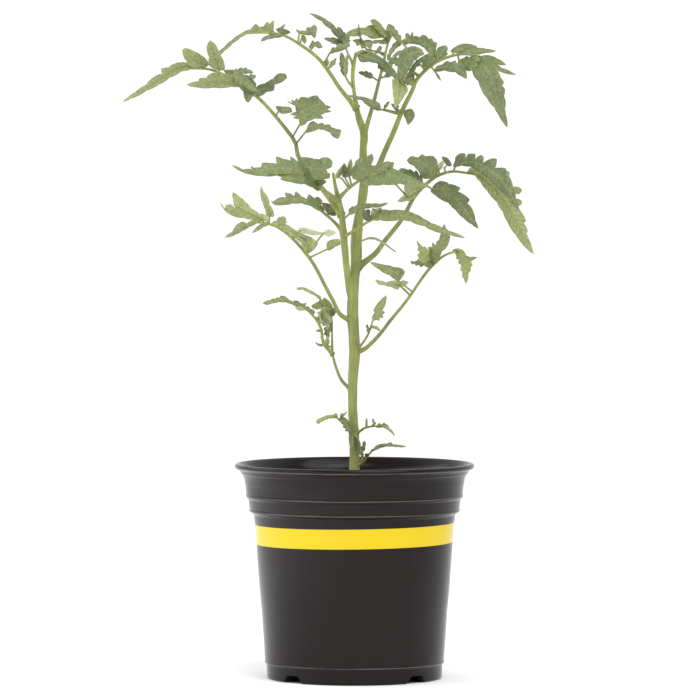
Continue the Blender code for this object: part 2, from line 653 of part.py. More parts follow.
def make_leaf(name, plan, stem_clearance, material):
    """One compound leaf: the petiole with its leaflets united, cut back from the stem by GAP."""
    count = len(plan["route"])
    first, last = plan["half"]
    halves = [(first + (last - first) * i / (count - 1)) * MM for i in range(count)]
    rachis = smooth_route([millimetres(p) for p in plan["route"]], halves, TUBE_SPACING)
    leaf = tube(name, rachis, PARTS)
    last_seat = rachis[-2][0].lerp(rachis[-1][0], LAST_SEAT)
    seats = [point for point, half in rachis[:-1]] + [last_seat]
    blades = [
        leaflet(f"{name}_{i}", seats, *blade) for i, blade in enumerate(plan["leaflets"])
    ]
    for blade in blades:
        boolean(leaf, blade, "UNION")
    boolean(leaf, stem_clearance, "DIFFERENCE")
    bake(leaf, blades)
    leaf.data.shade_smooth()
    leaf.data.set_sharp_from_angle(angle=math.radians(LEAF_CREASE))
    leaf.data.materials.append(material)


clear_scene()
PARTS = new_collection("tomato_plant_in_pot")
CUTTERS = new_collection("cutters", cutters=True)
make_pot()
clearance = make_stem()
make_potting_mix(clearance)
LEAF_GREEN = new_material("leaf_green", (0.17, 0.24, 0.10), 0.6)
for leaf_name, leaf_plan in LEAVES.items():
    make_leaf(leaf_name, leaf_plan, clearance, LEAF_GREEN)
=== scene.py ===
"""Young tomato plant in a round nursery pot: the looks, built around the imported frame.

Everything is in metres with +Z up, and the plant's front faces -Y. Routes and outlines of the
plant are written in millimetres and turned into metres by MM.
"""

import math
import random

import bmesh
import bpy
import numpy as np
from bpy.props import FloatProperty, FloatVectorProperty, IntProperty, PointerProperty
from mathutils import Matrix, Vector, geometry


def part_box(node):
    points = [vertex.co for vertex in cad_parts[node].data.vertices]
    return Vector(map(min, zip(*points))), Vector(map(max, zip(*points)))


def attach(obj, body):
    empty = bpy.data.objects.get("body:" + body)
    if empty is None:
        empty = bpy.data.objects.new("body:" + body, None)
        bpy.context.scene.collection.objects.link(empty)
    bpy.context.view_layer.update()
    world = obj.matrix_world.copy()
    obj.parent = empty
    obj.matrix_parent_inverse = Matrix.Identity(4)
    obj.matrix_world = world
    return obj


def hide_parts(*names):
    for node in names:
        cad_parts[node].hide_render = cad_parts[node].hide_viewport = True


bl_info = {
    "name": "Tomato Plant in a Pot",
    "version": (1, 0, 0),
    "blender": (4, 5, 0),
    "location": "View3D > Sidebar > Tomato",
    "description": "Builds a young tomato plant standing in a black nursery pot",
    "category": "Add Mesh",
}

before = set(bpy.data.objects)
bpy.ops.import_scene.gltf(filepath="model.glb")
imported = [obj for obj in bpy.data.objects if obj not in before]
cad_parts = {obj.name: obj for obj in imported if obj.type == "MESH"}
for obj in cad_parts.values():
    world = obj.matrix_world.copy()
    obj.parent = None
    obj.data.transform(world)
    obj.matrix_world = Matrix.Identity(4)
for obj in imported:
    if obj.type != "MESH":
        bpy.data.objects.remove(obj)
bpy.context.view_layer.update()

MM = 0.001
REACH = 1.4  # how far every written y is stretched towards the front and the back
POT_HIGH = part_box("pot")[1]
MIX_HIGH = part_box("potting_mix")[1]
LIP_RADIUS = POT_HIGH.x
BODY = "root"
EYE = Vector((-0.0024, -3.0, 0.287))  # where the camera stands
VEIN_SLOPE = 0.75  # how far a side vein runs towards the tip for each step away from the midrib
# Heights of the thin pale lines painted on the pot as highlights: the lip's lower edge, two ridges and the
# foot ridge
PAINTED_HIGHLIGHT_LINES = ((111.6, 0.5), (96.9, 0.3), (89.1, 0.3), (8.8, 0.3))  # height and half width in mm
MIDRIB_POINTS = 25

# The stem's points, each with its half thickness
STEM_ROUTE = (
    ((0, 0, 82), 2.3), ((0, 0, 98), 2.6), ((0, 0, 111), 2.8), ((0, 0, 126), 2.6),
    ((-1, 0, 142), 2.5), ((-1, 0, 158), 2.6), ((0, 0, 174), 3.0), ((-1, 0, 195), 3.0),
    ((0, 0, 211), 2.6), ((1, 0, 221), 3.0), ((1, 0, 232), 3.0), ((2, 0, 242), 2.6),
    ((4, 0, 253), 2.4), ((5, 0, 264), 2.4), ((4.5, 0, 280), 2.0), ((5, 0, 288), 2.1),
    ((2.5, 0, 296), 1.7), ((1, 0, 302), 1.4), ((0, 0, 309), 1.0), ((-1, 0, 317), 1.0),
    ((-0.5, 0, 324.5), 1.0), ((1, 0, 331.5), 0.9),
)
STEM_BRANCH_ROUTE = (
    ((-0.5, 0, 197), 1.8), ((-2.5, -1, 205), 1.8), ((-4, -3, 216), 1.8), ((-5, -4, 227), 1.8),
    ((-6, -4.5, 237), 1.9), ((-7, -5, 248), 1.5), ((-8.5, -5, 254), 1.4), ((-10, -5, 260), 1.0),
    ((-11.5, -5, 268), 0.7),
)

# A leaf has the route of its petiole, half thicknesses at the petiole's two ends, and its blades:
# (foot, tip, turn towards the front in degrees, arch of the midrib, tone, shape).
# Past 90 degrees a blade shows its underside. Tone runs from 0, dark, to 1, light; what is over 1 makes the
# blade paler still, which partly paints light onto blades that lie in the shade of the stem and other
# leaves.
# A shape is (width, teeth on each side, depth of their cuts) or the blade's outline as (x, z).
LEAVES = {
    "arching_left_leaf": {
        "route": ((1, 0, 302), (-2.4, -2, 306), (-7.7, -5, 312.4), (-18, -13, 327),
                  (-29, -19, 335.7), (-39.5, -25, 341), (-53, -30, 342)),
        "half": (1.5, 0.55),
        "blades": (
            ((-50, -29, 342), (-76.3, -39, 326.9), 35, 3, 0.6,
             ((-54, 343), (-57, 342.8), (-60.7, 340.9), (-64.9, 337.8), (-69.2, 334), (-73.4, 330),
              (-76.3, 326.9), (-72.9, 328.8), (-68.6, 332.4), (-64.4, 336.2), (-60.2, 339.4),
              (-57, 341.2), (-53, 341.4))),
            ((-42.5, -26, 341.5), (-58.5, -24, 342.3), 60, 1, 0.6,
             ((-43.2, 342), (-42.7, 345.2), (-42.9, 348.4), (-44.8, 346.3), (-46.1, 347.6), (-48, 345.2),
              (-50.1, 344.7), (-52.2, 346.5), (-54.9, 343.6), (-58.5, 342.3), (-52.2, 341.8),
              (-47.4, 341.7))),
            ((-38, -25, 340.8), (-49.5, -31, 337.2), 30, 1, 0.05,
             ((-37.9, 341.5), (-41.6, 341), (-43, 341.4), (-45.8, 340.5), (-48.8, 338.9), (-49.5, 337.2),
              (-45.8, 338.4), (-42.1, 339.1), (-37.9, 339.9))),
            ((-36.5, -24, 341.5), (-36.6, -22, 346.5), 70, 0.3, 0.1,
             ((-41.6, 343.6), (-39, 344.7), (-36.6, 346.5), (-37.9, 343.9), (-35.8, 343.4), (-33.7, 342),
              (-36.3, 340.8), (-39.5, 341.5))),
            ((-29.2, -17, 341.8), (-19.9, -11, 342.6), 110, 1, 0.05,
             ((-31, 343.6), (-28.9, 342.8), (-25.7, 342.8), (-25.2, 344.6), (-23.1, 344.7), (-21.2, 346.1),
              (-19.9, 344.7), (-20.3, 341.5), (-20.9, 338.9), (-23.1, 340.7), (-25.2, 340.4),
              (-27.3, 341.2), (-29.4, 341))),
            ((-27.4, -17, 341), (-26.5, -20, 335.7), 70, 0.3, 0.6,
             ((-27.3, 341.2), (-25.7, 339.4), (-25.4, 337.3), (-26.5, 335.7), (-27.6, 337.8),
              (-28.3, 339.9))),
            ((-22.8, -15, 334), (-17.4, -12, 335.6), 60, 0.4, 0.25,
             ((-24.1, 334.1), (-23.1, 336.2), (-22.3, 337.8), (-20.9, 336.7), (-19.3, 337.5),
              (-17.8, 335.9), (-16.9, 334), (-19.3, 333.6), (-20.9, 334.9), (-22.5, 333))),
            ((-13, -9, 331.2), (-2.4, -7, 335.6), 110, 0.8, 0.1,
             ((-13, 330.6), (-12.5, 332.6), (-11.9, 334.1), (-9.8, 333.9), (-8.2, 336.4), (-6.1, 335.4),
              (-3.4, 337.2), (-2.2, 335.2), (-4.5, 333.6), (-7.2, 332.2), (-10.3, 331.5))),
            ((-14.5, -11, 324), (-15, -14, 329), 80, 0.3, 0.2, (3.4, 2, 0.3)),
            ((-10, -8, 328), (-14, -10.5, 322.5), 70, 0.3, 0.5, (3, 2, 0.3)),
        ),
    },
    "upper_left_leaf": {
        "route": ((-7, -5, 245.5), (-14.5, 1.5, 256), (-21.5, 6, 265), (-29, 10, 275), (-30.5, 11, 279.5),
                  (-32.6, 13, 286), (-45.8, 21, 302.3), (-55.4, 27, 311), (-66, 31, 318),
                  (-76.6, 35, 322.4), (-87, 37, 323)),
        "half": (1.6, 0.6),
        "blades": (
            ((-86, 37, 323.2), (-121.8, 42, 306.3), 110, -2.2, 0.5,
             ((-86.2, 323.9), (-87.4, 325.4), (-90.9, 326.3), (-94.8, 325.7), (-98.6, 323.4),
              (-102.4, 322.8), (-101.7, 320.3), (-105.6, 318.9), (-110.3, 314.3), (-116, 310.4),
              (-119.6, 308), (-122.4, 305.4), (-118.4, 307), (-109.9, 311.3),
              (-103.3, 314.5), (-97.9, 318), (-91.6, 321.4), (-86.2, 322.6))),
            ((-79, 35.6, 323.2), (-90.6, 31, 333.2), 94, 1, 0.6,
             ((-77, 324.8), (-78, 327.5), (-80.8, 329.8), (-85.4, 332.3), (-89.3, 333.8),
              (-91, 332.9), (-90.7, 330.2), (-88.9, 326.7), (-86.6, 324), (-80.8, 322.8))),
            ((-71.5, 34, 322), (-76.5, 27, 337.6), 98, 1, 0.6,
             ((-68.7, 322), (-68.7, 324.8), (-70.3, 329), (-72.2, 332.9), (-73.8, 336), (-76.5, 337.8),
              (-78.2, 334.1), (-76.9, 329), (-77, 324.8), (-74, 322.5))),
            ((-58.5, 26, 314.2), (-88.9, 13, 314.3), 112, 1.8, 0.45,
             ((-58.5, 315.5), (-65, 319.6), (-71.4, 320.3), (-74.5, 320.7), (-77.3, 319.5),
              (-78.4, 318), (-81.9, 317.8), (-82.6, 316.3), (-88.9, 314.3), (-83.9, 313),
              (-74.5, 312.8), (-65.2, 313.3), (-59.3, 313.4))),
            ((-60, 28, 317.5), (-56.7, 17, 304.9), 82, 1.5, 0.2,
             ((-65.2, 317), (-62.9, 320.3), (-55.9, 318.9), (-52, 314.9), (-52.4, 311.5),
              (-54.2, 307.8), (-56.3, 304.9), (-57.7, 306), (-58.8, 310.8), (-61.5, 313.8))),
            ((-53.5, 26, 309.5), (-35.8, 17, 318.8), 70, 0.6, 0.12,
             ((-53.9, 308.2), (-51.2, 313.9), (-47.5, 315), (-45.8, 316.1), (-43, 317.6), (-40.3, 320.3),
              (-36.4, 320.1), (-35.6, 318.3), (-38, 316), (-42.3, 314.4), (-42.7, 311.3),
              (-46.5, 310.6), (-49.7, 308.2))),
            ((-65, 31, 320), (-53.5, 36, 320.6), 25, 1.5, 0.2, (7, 4, 0.5)),
            ((-58, 29, 316), (-52, 34, 318.8), 25, 1, 0.25, (5, 3, 0.5)),
            ((-39.5, 17, 301.2), (-33.4, 11, 301.2), 60, 1, 0.4,
             ((-39.7, 299.6), (-41.9, 303), (-38, 302.8), (-33.7, 302.3), (-33, 300), (-38, 299))),
            ((-28.6, 8, 294), (-17.5, 2, 306.5), 84, 1.2, 0.42,
             ((-28.4, 292.6), (-29.5, 296.2), (-32.6, 296.9), (-30.1, 298), (-34.2, 298.7), (-30.8, 300.2),
              (-31.4, 303.2), (-35.8, 305.8), (-32.9, 304.6), (-33.4, 306.6), (-31.9, 305.6),
              (-30.5, 307.3), (-29.6, 306.2), (-28.4, 307.9), (-24.6, 307.4), (-20, 308.8),
              (-18.6, 307), (-17, 305.5), (-15.4, 303.6), (-12.3, 302.5), (-14.8, 301.5),
              (-12.3, 300.2), (-15.6, 299.5), (-17.8, 298.4), (-16.5, 296.5), (-20.9, 296.6),
              (-24.6, 295.1), (-27.3, 292.8))),
            ((-25, 6, 290.5), (-7.4, -6, 289.3), 60, 2.2, 0.3,
             ((-25.6, 289), (-24.1, 293.8), (-22, 295.2), (-19.3, 293.5), (-17.2, 294.3), (-15.6, 293.1),
              (-13, 293.3), (-12.3, 291.9), (-9.8, 291), (-7, 290.4), (-7.4, 288.8), (-8.7, 285.7),
              (-11.4, 286.9), (-13, 289.2), (-16.2, 290.6), (-19.3, 290.9), (-23.1, 289.4))),
            ((-67, 24, 321), (-52, 18, 310.5), 70, 1, 0.35,
             ((-69.2, 321.9), (-64.4, 322.3), (-60.7, 320.8), (-57, 318.4), (-53.8, 314.5), (-50.6, 310.5),
              (-53.8, 310.8), (-58, 313.4), (-61.7, 315), (-66, 318.2))),
        ),
    },
    "middle_left_leaf": {
        "route": ((-8.4, -5, 253), (-15.6, -9, 258), (-22.5, -13, 262), (-29, -16, 265.7),
                  (-37, -20, 267.3), (-45, -24, 267.5)),
        "half": (1.2, 0.55),
        "blades": (
            ((-24, -14, 263.2), (-65, -31, 271.9), 56, -3.6, 0.42,
             ((-17.3, 261.3), (-23.7, 266.6), (-29.5, 272.4), (-31.2, 274.7), (-34.1, 276.4),
              (-33.6, 274), (-37.9, 275.2), (-41.5, 276.4), (-41.1, 272.6), (-45, 272.9),
              (-48.9, 273), (-49.5, 270.6), (-53.2, 270.4), (-54.7, 271.4), (-54.4, 269.8),
              (-59.3, 269.6), (-65, 272), (-60.2, 268.6), (-54.3, 266.8), (-49.3, 266.2),
              (-41, 266.4), (-36, 265), (-29.6, 264.5), (-22, 259.8), (-19.1, 257.9))),
            ((-27, -15, 268), (-12.5, -21, 272), 70, 1.5, 0.3,
             ((-30.6, 272.4), (-29, 275.8), (-24.6, 275.9), (-21.4, 275.2), (-18.7, 274.9),
              (-16.9, 275.9), (-14.1, 275.9), (-11.6, 273.8), (-12.1, 271), (-15, 269.5),
              (-14.2, 267.8), (-12.9, 267.5), (-13.2, 265), (-20.1, 264.3), (-24.6, 266.6),
              (-28.3, 268.6))),
            ((-21, -12, 262), (-14.8, -15, 263.2), 60, 0.5, 0.1, (5, 2, 0.3)),
            ((-24, -14, 263), (-39.5, -26, 264.6), 40, 1, 0.35, (6, 3, 0.15)),
        ),
    },
    "small_left_leaf": {
        "route": ((-6, -4.5, 236), (-10.3, -1, 241.3), (-15.6, 3, 246), (-21, 7, 249.8), (-29, 11, 252.6)),
        "half": (1.0, 0.5),
        "blades": (
            ((-19, 6, 249), (-43.9, 17, 252.2), 58, 2.2, 0.36,
             ((-15.8, 247.6), (-17.6, 251), (-17.1, 253.1), (-19.4, 255.2), (-21.4, 254.4),
              (-24.3, 256.5), (-25.3, 253.9), (-28, 255.3), (-31.1, 258), (-32, 255.3),
              (-33.7, 256.7), (-36.8, 257.3), (-36.2, 254.9), (-39.7, 254.7), (-42.4, 253),
              (-44.2, 252.4), (-42, 250.8), (-37.9, 250.7), (-32.8, 251.6), (-28.3, 251.8),
              (-23.3, 250.5), (-18.2, 247.4))),
            ((-15, 2.5, 245.8), (-11.5, 5, 251), 75, 0.5, 0.18,
             ((-16, 248.6), (-17.4, 252), (-13.5, 251.4), (-9.9, 251.2), (-9, 248.8), (-10, 245),
              (-13.2, 245.4))),
        ),
    },
    "low_left_leaf": {
        "route": ((-1, 0, 189), (-7.7, -3, 193), (-11.4, -7, 200), (-15.6, -11, 208), (-22, -17, 220),
                  (-30.5, -23, 230.7), (-38.4, -27, 237.6), (-45, -30, 240.6), (-54, -34, 242)),
        "half": (1.3, 0.6),
        "blades": (
            ((-52, -33, 242), (-68.6, -42, 233.7), 115, 1.2, 0.3,
             ((-49.3, 242.6), (-53.8, 242.9), (-57, 241), (-59.3, 242), (-61.6, 241), (-62.9, 239.8),
              (-64.6, 236.8), (-68.8, 233.6), (-66.1, 233.9), (-62.9, 235.2), (-59.3, 237),
              (-55.6, 239.3), (-52, 240.9))),
            ((-48, -31.6, 243.2), (-70.9, -38, 252), 102, -4, 0.82,
             ((-44.7, 242.4), (-46.8, 245.6), (-50.6, 246.2), (-54.7, 249), (-57.9, 252.6),
              (-60.7, 255.1), (-64.5, 257.5), (-64.2, 252.9), (-62.8, 249), (-66.1, 251),
              (-68, 250.4), (-68.9, 248.9), (-71.3, 252.5), (-68.2, 247.2), (-63.4, 244.6),
              (-58.8, 243.9), (-52, 243), (-47.4, 242.2))),
            ((-45, -29.5, 244), (-49.6, -24, 260.6), 98, 0.6, 0.6,
             ((-42.7, 244.6), (-42.7, 246.5), (-45, 251), (-46.1, 255.1), (-48.3, 257.9), (-49.6, 260.8),
              (-49.7, 255.6), (-48.4, 251.5), (-47.2, 248.3), (-46.4, 244.8))),
            ((-45, -30, 240.9), (-54.2, -25, 236), 110, 0.8, 0.25,
             ((-44.4, 241), (-45.6, 242), (-49.3, 240.8), (-52, 239), (-54.4, 235.8), (-48.3, 239))),
            ((-40, -27, 240.5), (-37, -20, 244.5), 50, 0.5, 0.6, (6, 3, 0.3)),
            ((-25, -18.5, 226.8), (-42, -15, 241), 112, 2.4, 0.6,
             ((-24, 225.3), (-20.3, 228.7), (-19.4, 230.6), (-23.3, 233.8), (-26, 234.8), (-30.1, 236.6),
              (-32.8, 238.5), (-37.9, 241.2), (-42, 242.6), (-44.2, 241), (-39.2, 238.4),
              (-35.1, 235.7), (-31.5, 233.4), (-28.3, 230.7), (-25.7, 226.2))),
            ((-13.5, -21, 227.8), (-7.5, -24, 232), 82, 0.5, 0.6,
             ((-14.7, 228.2), (-14.8, 230.5), (-13.7, 231.8), (-8.2, 232.8), (-7, 230.3), (-10, 228.8),
              (-13.7, 226.6))),
            ((-28.9, -24, 236.9), (-17, -16, 235.8), 60, 0.8, 1.45,
             ((-30.7, 236.6), (-29.1, 238.4), (-26.8, 238.9), (-24.1, 237.9), (-21.5, 237.2),
              (-18.8, 236.5), (-16.2, 235.9), (-18.1, 235.2), (-20.4, 234.8), (-23.1, 235), (-25.2, 235.5),
              (-27.8, 236.1))),
            ((-16.5, -15.5, 235.8), (-10, -13, 236), 70, 0.4, 1.5, (4.5, 2, 0.3)),
        ),
    },
    "front_centre_leaf": {
        "route": ((-8.5, -5, 254), (-4, -9, 258.8), (0.8, -14, 262.5), (5.5, -19, 265.7), (13.5, -25, 268)),
        "half": (1.0, 0.55),
        "blades": (
            ((3.5, -18, 264.5), (40, -36, 260.5), 66, 3.6, 0.38,
             ((3, 266), (6, 269.5), (8.7, 271.6), (13, 271.4), (16, 272.6), (20.9, 273.4), (20.2, 270.2),
              (26.2, 267.2), (33, 263.9), (40.3, 260.3), (32, 260.9), (24.1, 262.1), (15, 261.5),
              (9.3, 261.2), (3, 261.4))),
            ((1, -17, 264.5), (9.3, -20, 277.3), 80, 1, 0.3,
             ((-1, 264.7), (-1.6, 270), (0, 271.6), (0.6, 274), (4, 276.2), (6, 275.8), (9.3, 277.9),
              (10, 275.3), (8.9, 272.4), (8, 267.5), (3, 263.6))),
            ((11, -23, 267.5), (19.5, -28, 273.5), 75, 0.5, 0.3, (7, 3, 0.35)),
            ((-5, -10, 265.2), (-5.5, -12, 273), 65, 0.3, 0,
             ((-6.3, 265.5), (-6.6, 268.6), (-5.6, 273.2), (-4.2, 271), (-3.7, 268.6), (-1.3, 269.1),
              (2.1, 269.9), (-0.5, 266.8), (-3.4, 265.7))),
            ((-6.6, -9.5, 264.7), (-6.1, -11, 271.8), 65, 0.3, 1.3,
             ((-10.7, 265.4), (-9.4, 268.1), (-7.5, 270.7), (-5.9, 272.2), (-6.2, 268.9), (-7.7, 265.7),
              (-9.3, 264.7))),
            ((-3.2, -10, 267.6), (-2, -12.5, 275.3), 75, 0.3, 1,
             ((-3.8, 267.5), (-3.7, 271), (-2, 275.5), (-1.1, 272.3), (-2, 268.9))),
        ),
    },
    "middle_right_leaf": {
        "route": ((2, 0, 218), (10.9, 2, 225), (16, 4, 231.8), (25.2, 8, 243.5), (32, 11, 255.6),
                  (40, 14, 263.6), (45.3, 15, 266.8), (52, 16, 268.5), (61, 18, 267.5)),
        "half": (1.6, 0.6),
        "blades": (
            ((60, 17.8, 268), (94.6, 26, 224.8), 120, 6.2, 0.85,
             ((59.4, 267.6), (61.5, 271), (64.8, 270.8), (70.7, 265.8), (77.2, 261), (82.6, 255),
              (86, 249.9), (87.9, 247.7), (90.8, 242.3), (89.5, 241.2), (91.6, 237.4), (91.2, 235.4),
              (92.2, 232.9), (93.8, 228.6), (94.8, 224.6), (85.1, 235.2), (81.2, 241.2), (78.5, 247.1),
              (75.2, 252.4), (70.2, 258.2), (66.6, 263), (63.7, 266.4))),
            ((53.5, 13, 271.5), (87, 12, 247.7), 62, 5.5, 0.14,
             ((52.1, 270.9), (53.2, 274), (53.5, 276.3), (56.1, 278.2), (58.5, 278), (58.9, 275.2),
              (60, 277.8), (63.9, 277.8), (63.8, 275), (66.9, 277.3), (68.3, 276.2), (68, 273),
              (72.9, 275.5), (75.3, 275), (74.4, 270.3), (76.7, 270.5), (80.1, 270.1), (80, 266.6),
              (82.6, 264.2), (82.9, 261.6), (84, 259.4), (85.1, 254.5), (87.2, 247.6), (81, 255.2),
              (75.6, 260.6), (70.7, 264.9), (66.9, 268.2), (61.5, 271.1), (56.7, 271.7))),
            ((79, 17, 263), (89, 21, 251), 75, 1, 0.62,
             ((78.5, 267.5), (80.5, 269), (82.2, 268), (81.8, 266), (83.9, 260.5), (87, 260.3),
              (88.6, 258.7), (87.1, 256.5), (84.6, 257), (85.2, 254.2), (87.7, 253.6), (88.7, 252.3),
              (87.6, 250.4), (85.6, 250.8), (81, 258), (77, 263))),
            ((47.5, 15, 270.5), (51, 10, 274.5), 75, 0.5, 0.22,
             ((49.6, 271.2), (47.5, 273.4), (46, 276.4), (49.1, 275.8), (50.9, 273.4), (51.4, 271.6))),
            ((40.5, 11, 259.5), (65.5, -6, 238.3), 70, 3.6, 0.16,
             ((40.2, 258), (42.4, 261.7), (45.3, 263.5), (49.1, 262.8), (49.9, 261.9), (52.3, 261.5),
              (56.1, 259.7), (54.8, 257.8), (57.7, 256.5), (61, 253.6), (59.7, 251.6), (61.7, 249.7),
              (63.2, 246.4), (63.9, 242.6), (65.6, 238.2), (62.1, 240.5), (57.7, 243.8), (53.4, 248.2),
              (49.6, 252), (46.4, 253.3), (43.1, 255.7))),
            ((40.5, 12.5, 266), (30, 2, 274.8), 78, 1.5, 0.3,
             ((41.2, 265), (36.6, 264.6), (33.7, 269), (31.4, 271.6), (29, 272.6), (27.7, 274.6),
              (30.2, 276.7), (32.5, 276), (34, 276.1), (35.6, 277.6), (37.7, 276.5), (41.5, 276.7),
              (43.6, 274.4), (43.9, 271.3), (45, 269), (42.5, 266))),
            ((44.5, 13, 269), (47.2, 12, 274.3), 70, 0.5, 1.5, (4.5, 2, 0.2)),
            ((35.5, 11.5, 259), (27, 3, 259), 98, 1, 0.6,
             ((35.6, 259.4), (32.9, 261.6), (30.7, 261.5), (26.8, 262), (26.2, 259), (28.3, 255.2),
              (32.9, 258))),
            ((33, 9.5, 257.5), (22.7, 3, 252.7), 96, 0.6, 0.6, (5, 3, 0.2)),
            ((36, 11, 262), (23.5, 3, 269.8), 60, 0.8, 0.1, (9, 4, 0.4)),
            ((20.5, 1, 263), (12.5, 6, 268), 65, 0.5, 0.2, (7, 3, 0.3)),
        ),
    },
    "crossing_leaf": {
        "route": ((-5.5, -4.5, 234), (0.3, -9, 237.6), (4.5, -12, 240.3), (8.2, -14, 242.4),
                  (13.5, -17, 244.5), (24, -21.5, 245.8)),
        "half": (0.8, 0.55),
        "blades": (
            ((14, -18, 244.5), (58.6, -36, 233.6), 60, 4.0, 0.5,
             ((12, 245.3), (14, 248.3), (18.8, 247.9), (24.7, 248.1), (31.8, 246.2), (36.5, 243.6),
              (40.4, 241.3), (48.5, 237.4), (58.6, 233.4), (49.1, 235.5), (40.4, 237.6), (37, 239.7),
              (34.5, 240.1), (29.6, 242.2), (24.2, 243.3), (18.8, 242.2), (13, 243))),
            ((8.2, -13.5, 242.7), (5.8, -19, 248.2), 70, 0.3, 0.05,
             ((5.3, 242.9), (4, 245.1), (3.9, 247), (5, 248.4), (6.1, 248), (7.2, 248.7), (8.3, 247.7),
              (8.1, 245.8), (9.1, 244.3), (10.3, 242.9), (7.7, 242))),
            ((10.9, -14.5, 242.9), (12.2, -20, 248.8), 70, 0.3, 0.1,
             ((9.6, 242.9), (8.5, 246.1), (9.1, 248), (9.4, 249.1), (11.4, 248.7), (12.7, 249.2),
              (14.2, 249.5), (14.2, 246.9), (16, 246.1), (16.7, 243.8), (13.5, 242.9), (10.9, 242.4))),
        ),
    },
    "small_front_leaf": {
        "route": ((-6.5, -5, 242.4), (-4.7, -6.6, 244.3), (-2.6, -8.5, 246.2)),
        "half": (0.6, 0.5),
        "blades": (
            ((-2.7, -8, 246.4), (17.8, -9, 251.7), 55, 1, 0.45,
             ((-3.1, 246.1), (-3, 248.8), (-2.1, 249.1), (-1.3, 250.2), (-0.1, 249.8), (0.8, 250.6),
              (4, 251.1), (9.3, 251.5), (13.5, 251.3), (17.9, 251.9), (14.6, 250), (9.3, 249.5),
              (5, 248.9), (1.9, 248.3), (0.3, 246.7), (-1.6, 245.6))),
        ),
    },
    "thin_side_leaf": {
        "route": ((1, 0, 231), (3.2, -4, 231.8), (5.3, -7, 232.4)),
        "half": (0.45, 0.35),
        "blades": (
            ((5, -7, 232.5), (22.3, -12, 225.8), 40, 0.8, 1.2,
             ((3.4, 231.6), (5.6, 232.8), (7.2, 233.7), (9.3, 233.8), (11.4, 233.5), (13.5, 232.4),
              (16.2, 230.6), (19.3, 228.1), (22.4, 225.5), (19.3, 227.4), (16.2, 229.7), (13.2, 231.4),
              (10.9, 232.4), (8.7, 232.8), (6.6, 232.6), (5.6, 232.1), (4, 231.2))),
        ),
    },
    "low_right_leaf": {
        "route": ((0, 0, 172.5), (6, -1, 175), (13.5, -3, 182.5), (18.8, -5, 189.4), (27.8, -8, 200.5),
                  (37.4, -10, 214.3), (42.7, -11, 220), (46.4, -12, 223.3), (50.6, -13, 225.4),
                  (54.5, -13, 226)),
        "half": (1.2, 0.5),
        "blades": (
            ((55.1, -13, 226), (58.9, -17, 209.4), 80, 1.6, 0.95,
             ((51.7, 226.9), (54.3, 227.8), (56.7, 227.3), (58.2, 226), (59.2, 223.8), (61.2, 223.3),
              (65, 223.2), (62.5, 221.4), (61.5, 220.9), (62.5, 218.8), (61.4, 218), (61.7, 216.7),
              (60.3, 214.6), (60.3, 212.7), (59, 209), (57.9, 211.9), (57.2, 212.4), (57.1, 215.4),
              (56.1, 216.2), (56.6, 219.1), (54.9, 220), (55.4, 221.7), (53.5, 222.7), (54.1, 223.7),
              (53.2, 225.2))),
            ((40.3, -11, 220.1), (33, -16, 231.7), 84, 0.8, 1,
             ((40.8, 219.6), (41.1, 222.8), (39.9, 224.9), (40.8, 226.8), (38.4, 227.3), (37, 229),
              (36.2, 228.3), (34.6, 230.2), (32.9, 231.9), (33.8, 228.6), (33.4, 226.8), (34.8, 225.7),
              (33.1, 224.4), (34.1, 223), (33.1, 221.2), (36.2, 219.9))),
            ((42.1, -12, 220.7), (47.4, -18, 240.4), 84, 0.8, 0.5,
             ((40.8, 219.6), (39.6, 223.3), (40.3, 226.8), (38.6, 228.2), (41.3, 228.8), (41.1, 231),
              (43.1, 229), (43.4, 231.4), (44.8, 232.2), (45.8, 235.8), (47.4, 240.7), (48.5, 238.2),
              (49.8, 237.2), (49.7, 235.5), (50.6, 234.2), (49.6, 230.2), (47.4, 226.9), (46.2, 226.2),
              (44.8, 222.8), (42.4, 219.6))),
            ((39.5, -12, 219.6), (29.7, -17, 220.9), 60, 0.4, 0.08,
             ((41.1, 219.1), (40.5, 221.1), (37.4, 220.5), (33.7, 221.4), (31.5, 220.9), (29.5, 221.2),
              (30.7, 219.2), (31.7, 219.9), (32.6, 218.5), (34, 219.3), (35.2, 217.8), (36.8, 218.9),
              (39, 217.5))),
            ((22.8, -6.5, 210.8), (8.5, -10, 220.7), 80, 0.8, 0.45,
             ((23.4, 210.4), (18.6, 213.5), (12.9, 216.7), (8.2, 220.6), (12.5, 219.8), (15.7, 219.1),
              (20.7, 218), (25.4, 217), (26.7, 215.3), (25.5, 212.9))),
            ((23.6, -3.5, 208.5), (11.1, 2, 211.1), 60, 0.6, 1.35,
             ((10.9, 211.3), (13.5, 210.8), (16.7, 209.8), (19.9, 210.7), (23.1, 210.7), (24.4, 208.9),
              (23.1, 205.9), (19.3, 207.3), (15.6, 208.4), (12.5, 208.8))),
            ((24.1, -4, 208.2), (28.8, 0, 210), 60, 0.3, 1.2,
             ((23.3, 209), (24.6, 210.6), (25.7, 210.9), (28.8, 210), (26.6, 208), (24.6, 207.6))),
        ),
    },
    "upper_right_leaf": {
        "route": ((5, 0, 262), (11.4, -3, 268.9), (16.2, -5, 279.5), (20.9, -7, 290), (25.2, -9, 300.7),
                  (30.5, -12, 311.3), (32.6, -14, 316.6), (37.4, -16, 321.9), (42.7, -18, 326),
                  (49, -19, 328.8), (56, -20, 330.5), (64.5, -21, 330)),
        "half": (1.7, 0.6),
        "blades": (
            ((62.5, -21, 329.2), (80.8, -26, 291.9), 66, 5.8, 0.26,
             ((58.3, 324.2), (60.5, 329), (63.6, 330), (67, 329.6), (70.7, 330), (75.2, 328.4),
              (80.3, 324.9), (76, 325), (73.8, 325.9), (77.7, 323.3), (85.4, 319.6), (78.4, 320.7),
              (75.6, 321.9), (77.3, 318), (79, 315.9), (78.2, 313.8), (79.6, 311.8), (79, 308.4),
              (80, 305), (79.5, 301.6), (80, 298.6), (80.9, 291.7), (78.4, 294.6), (76.2, 298.4),
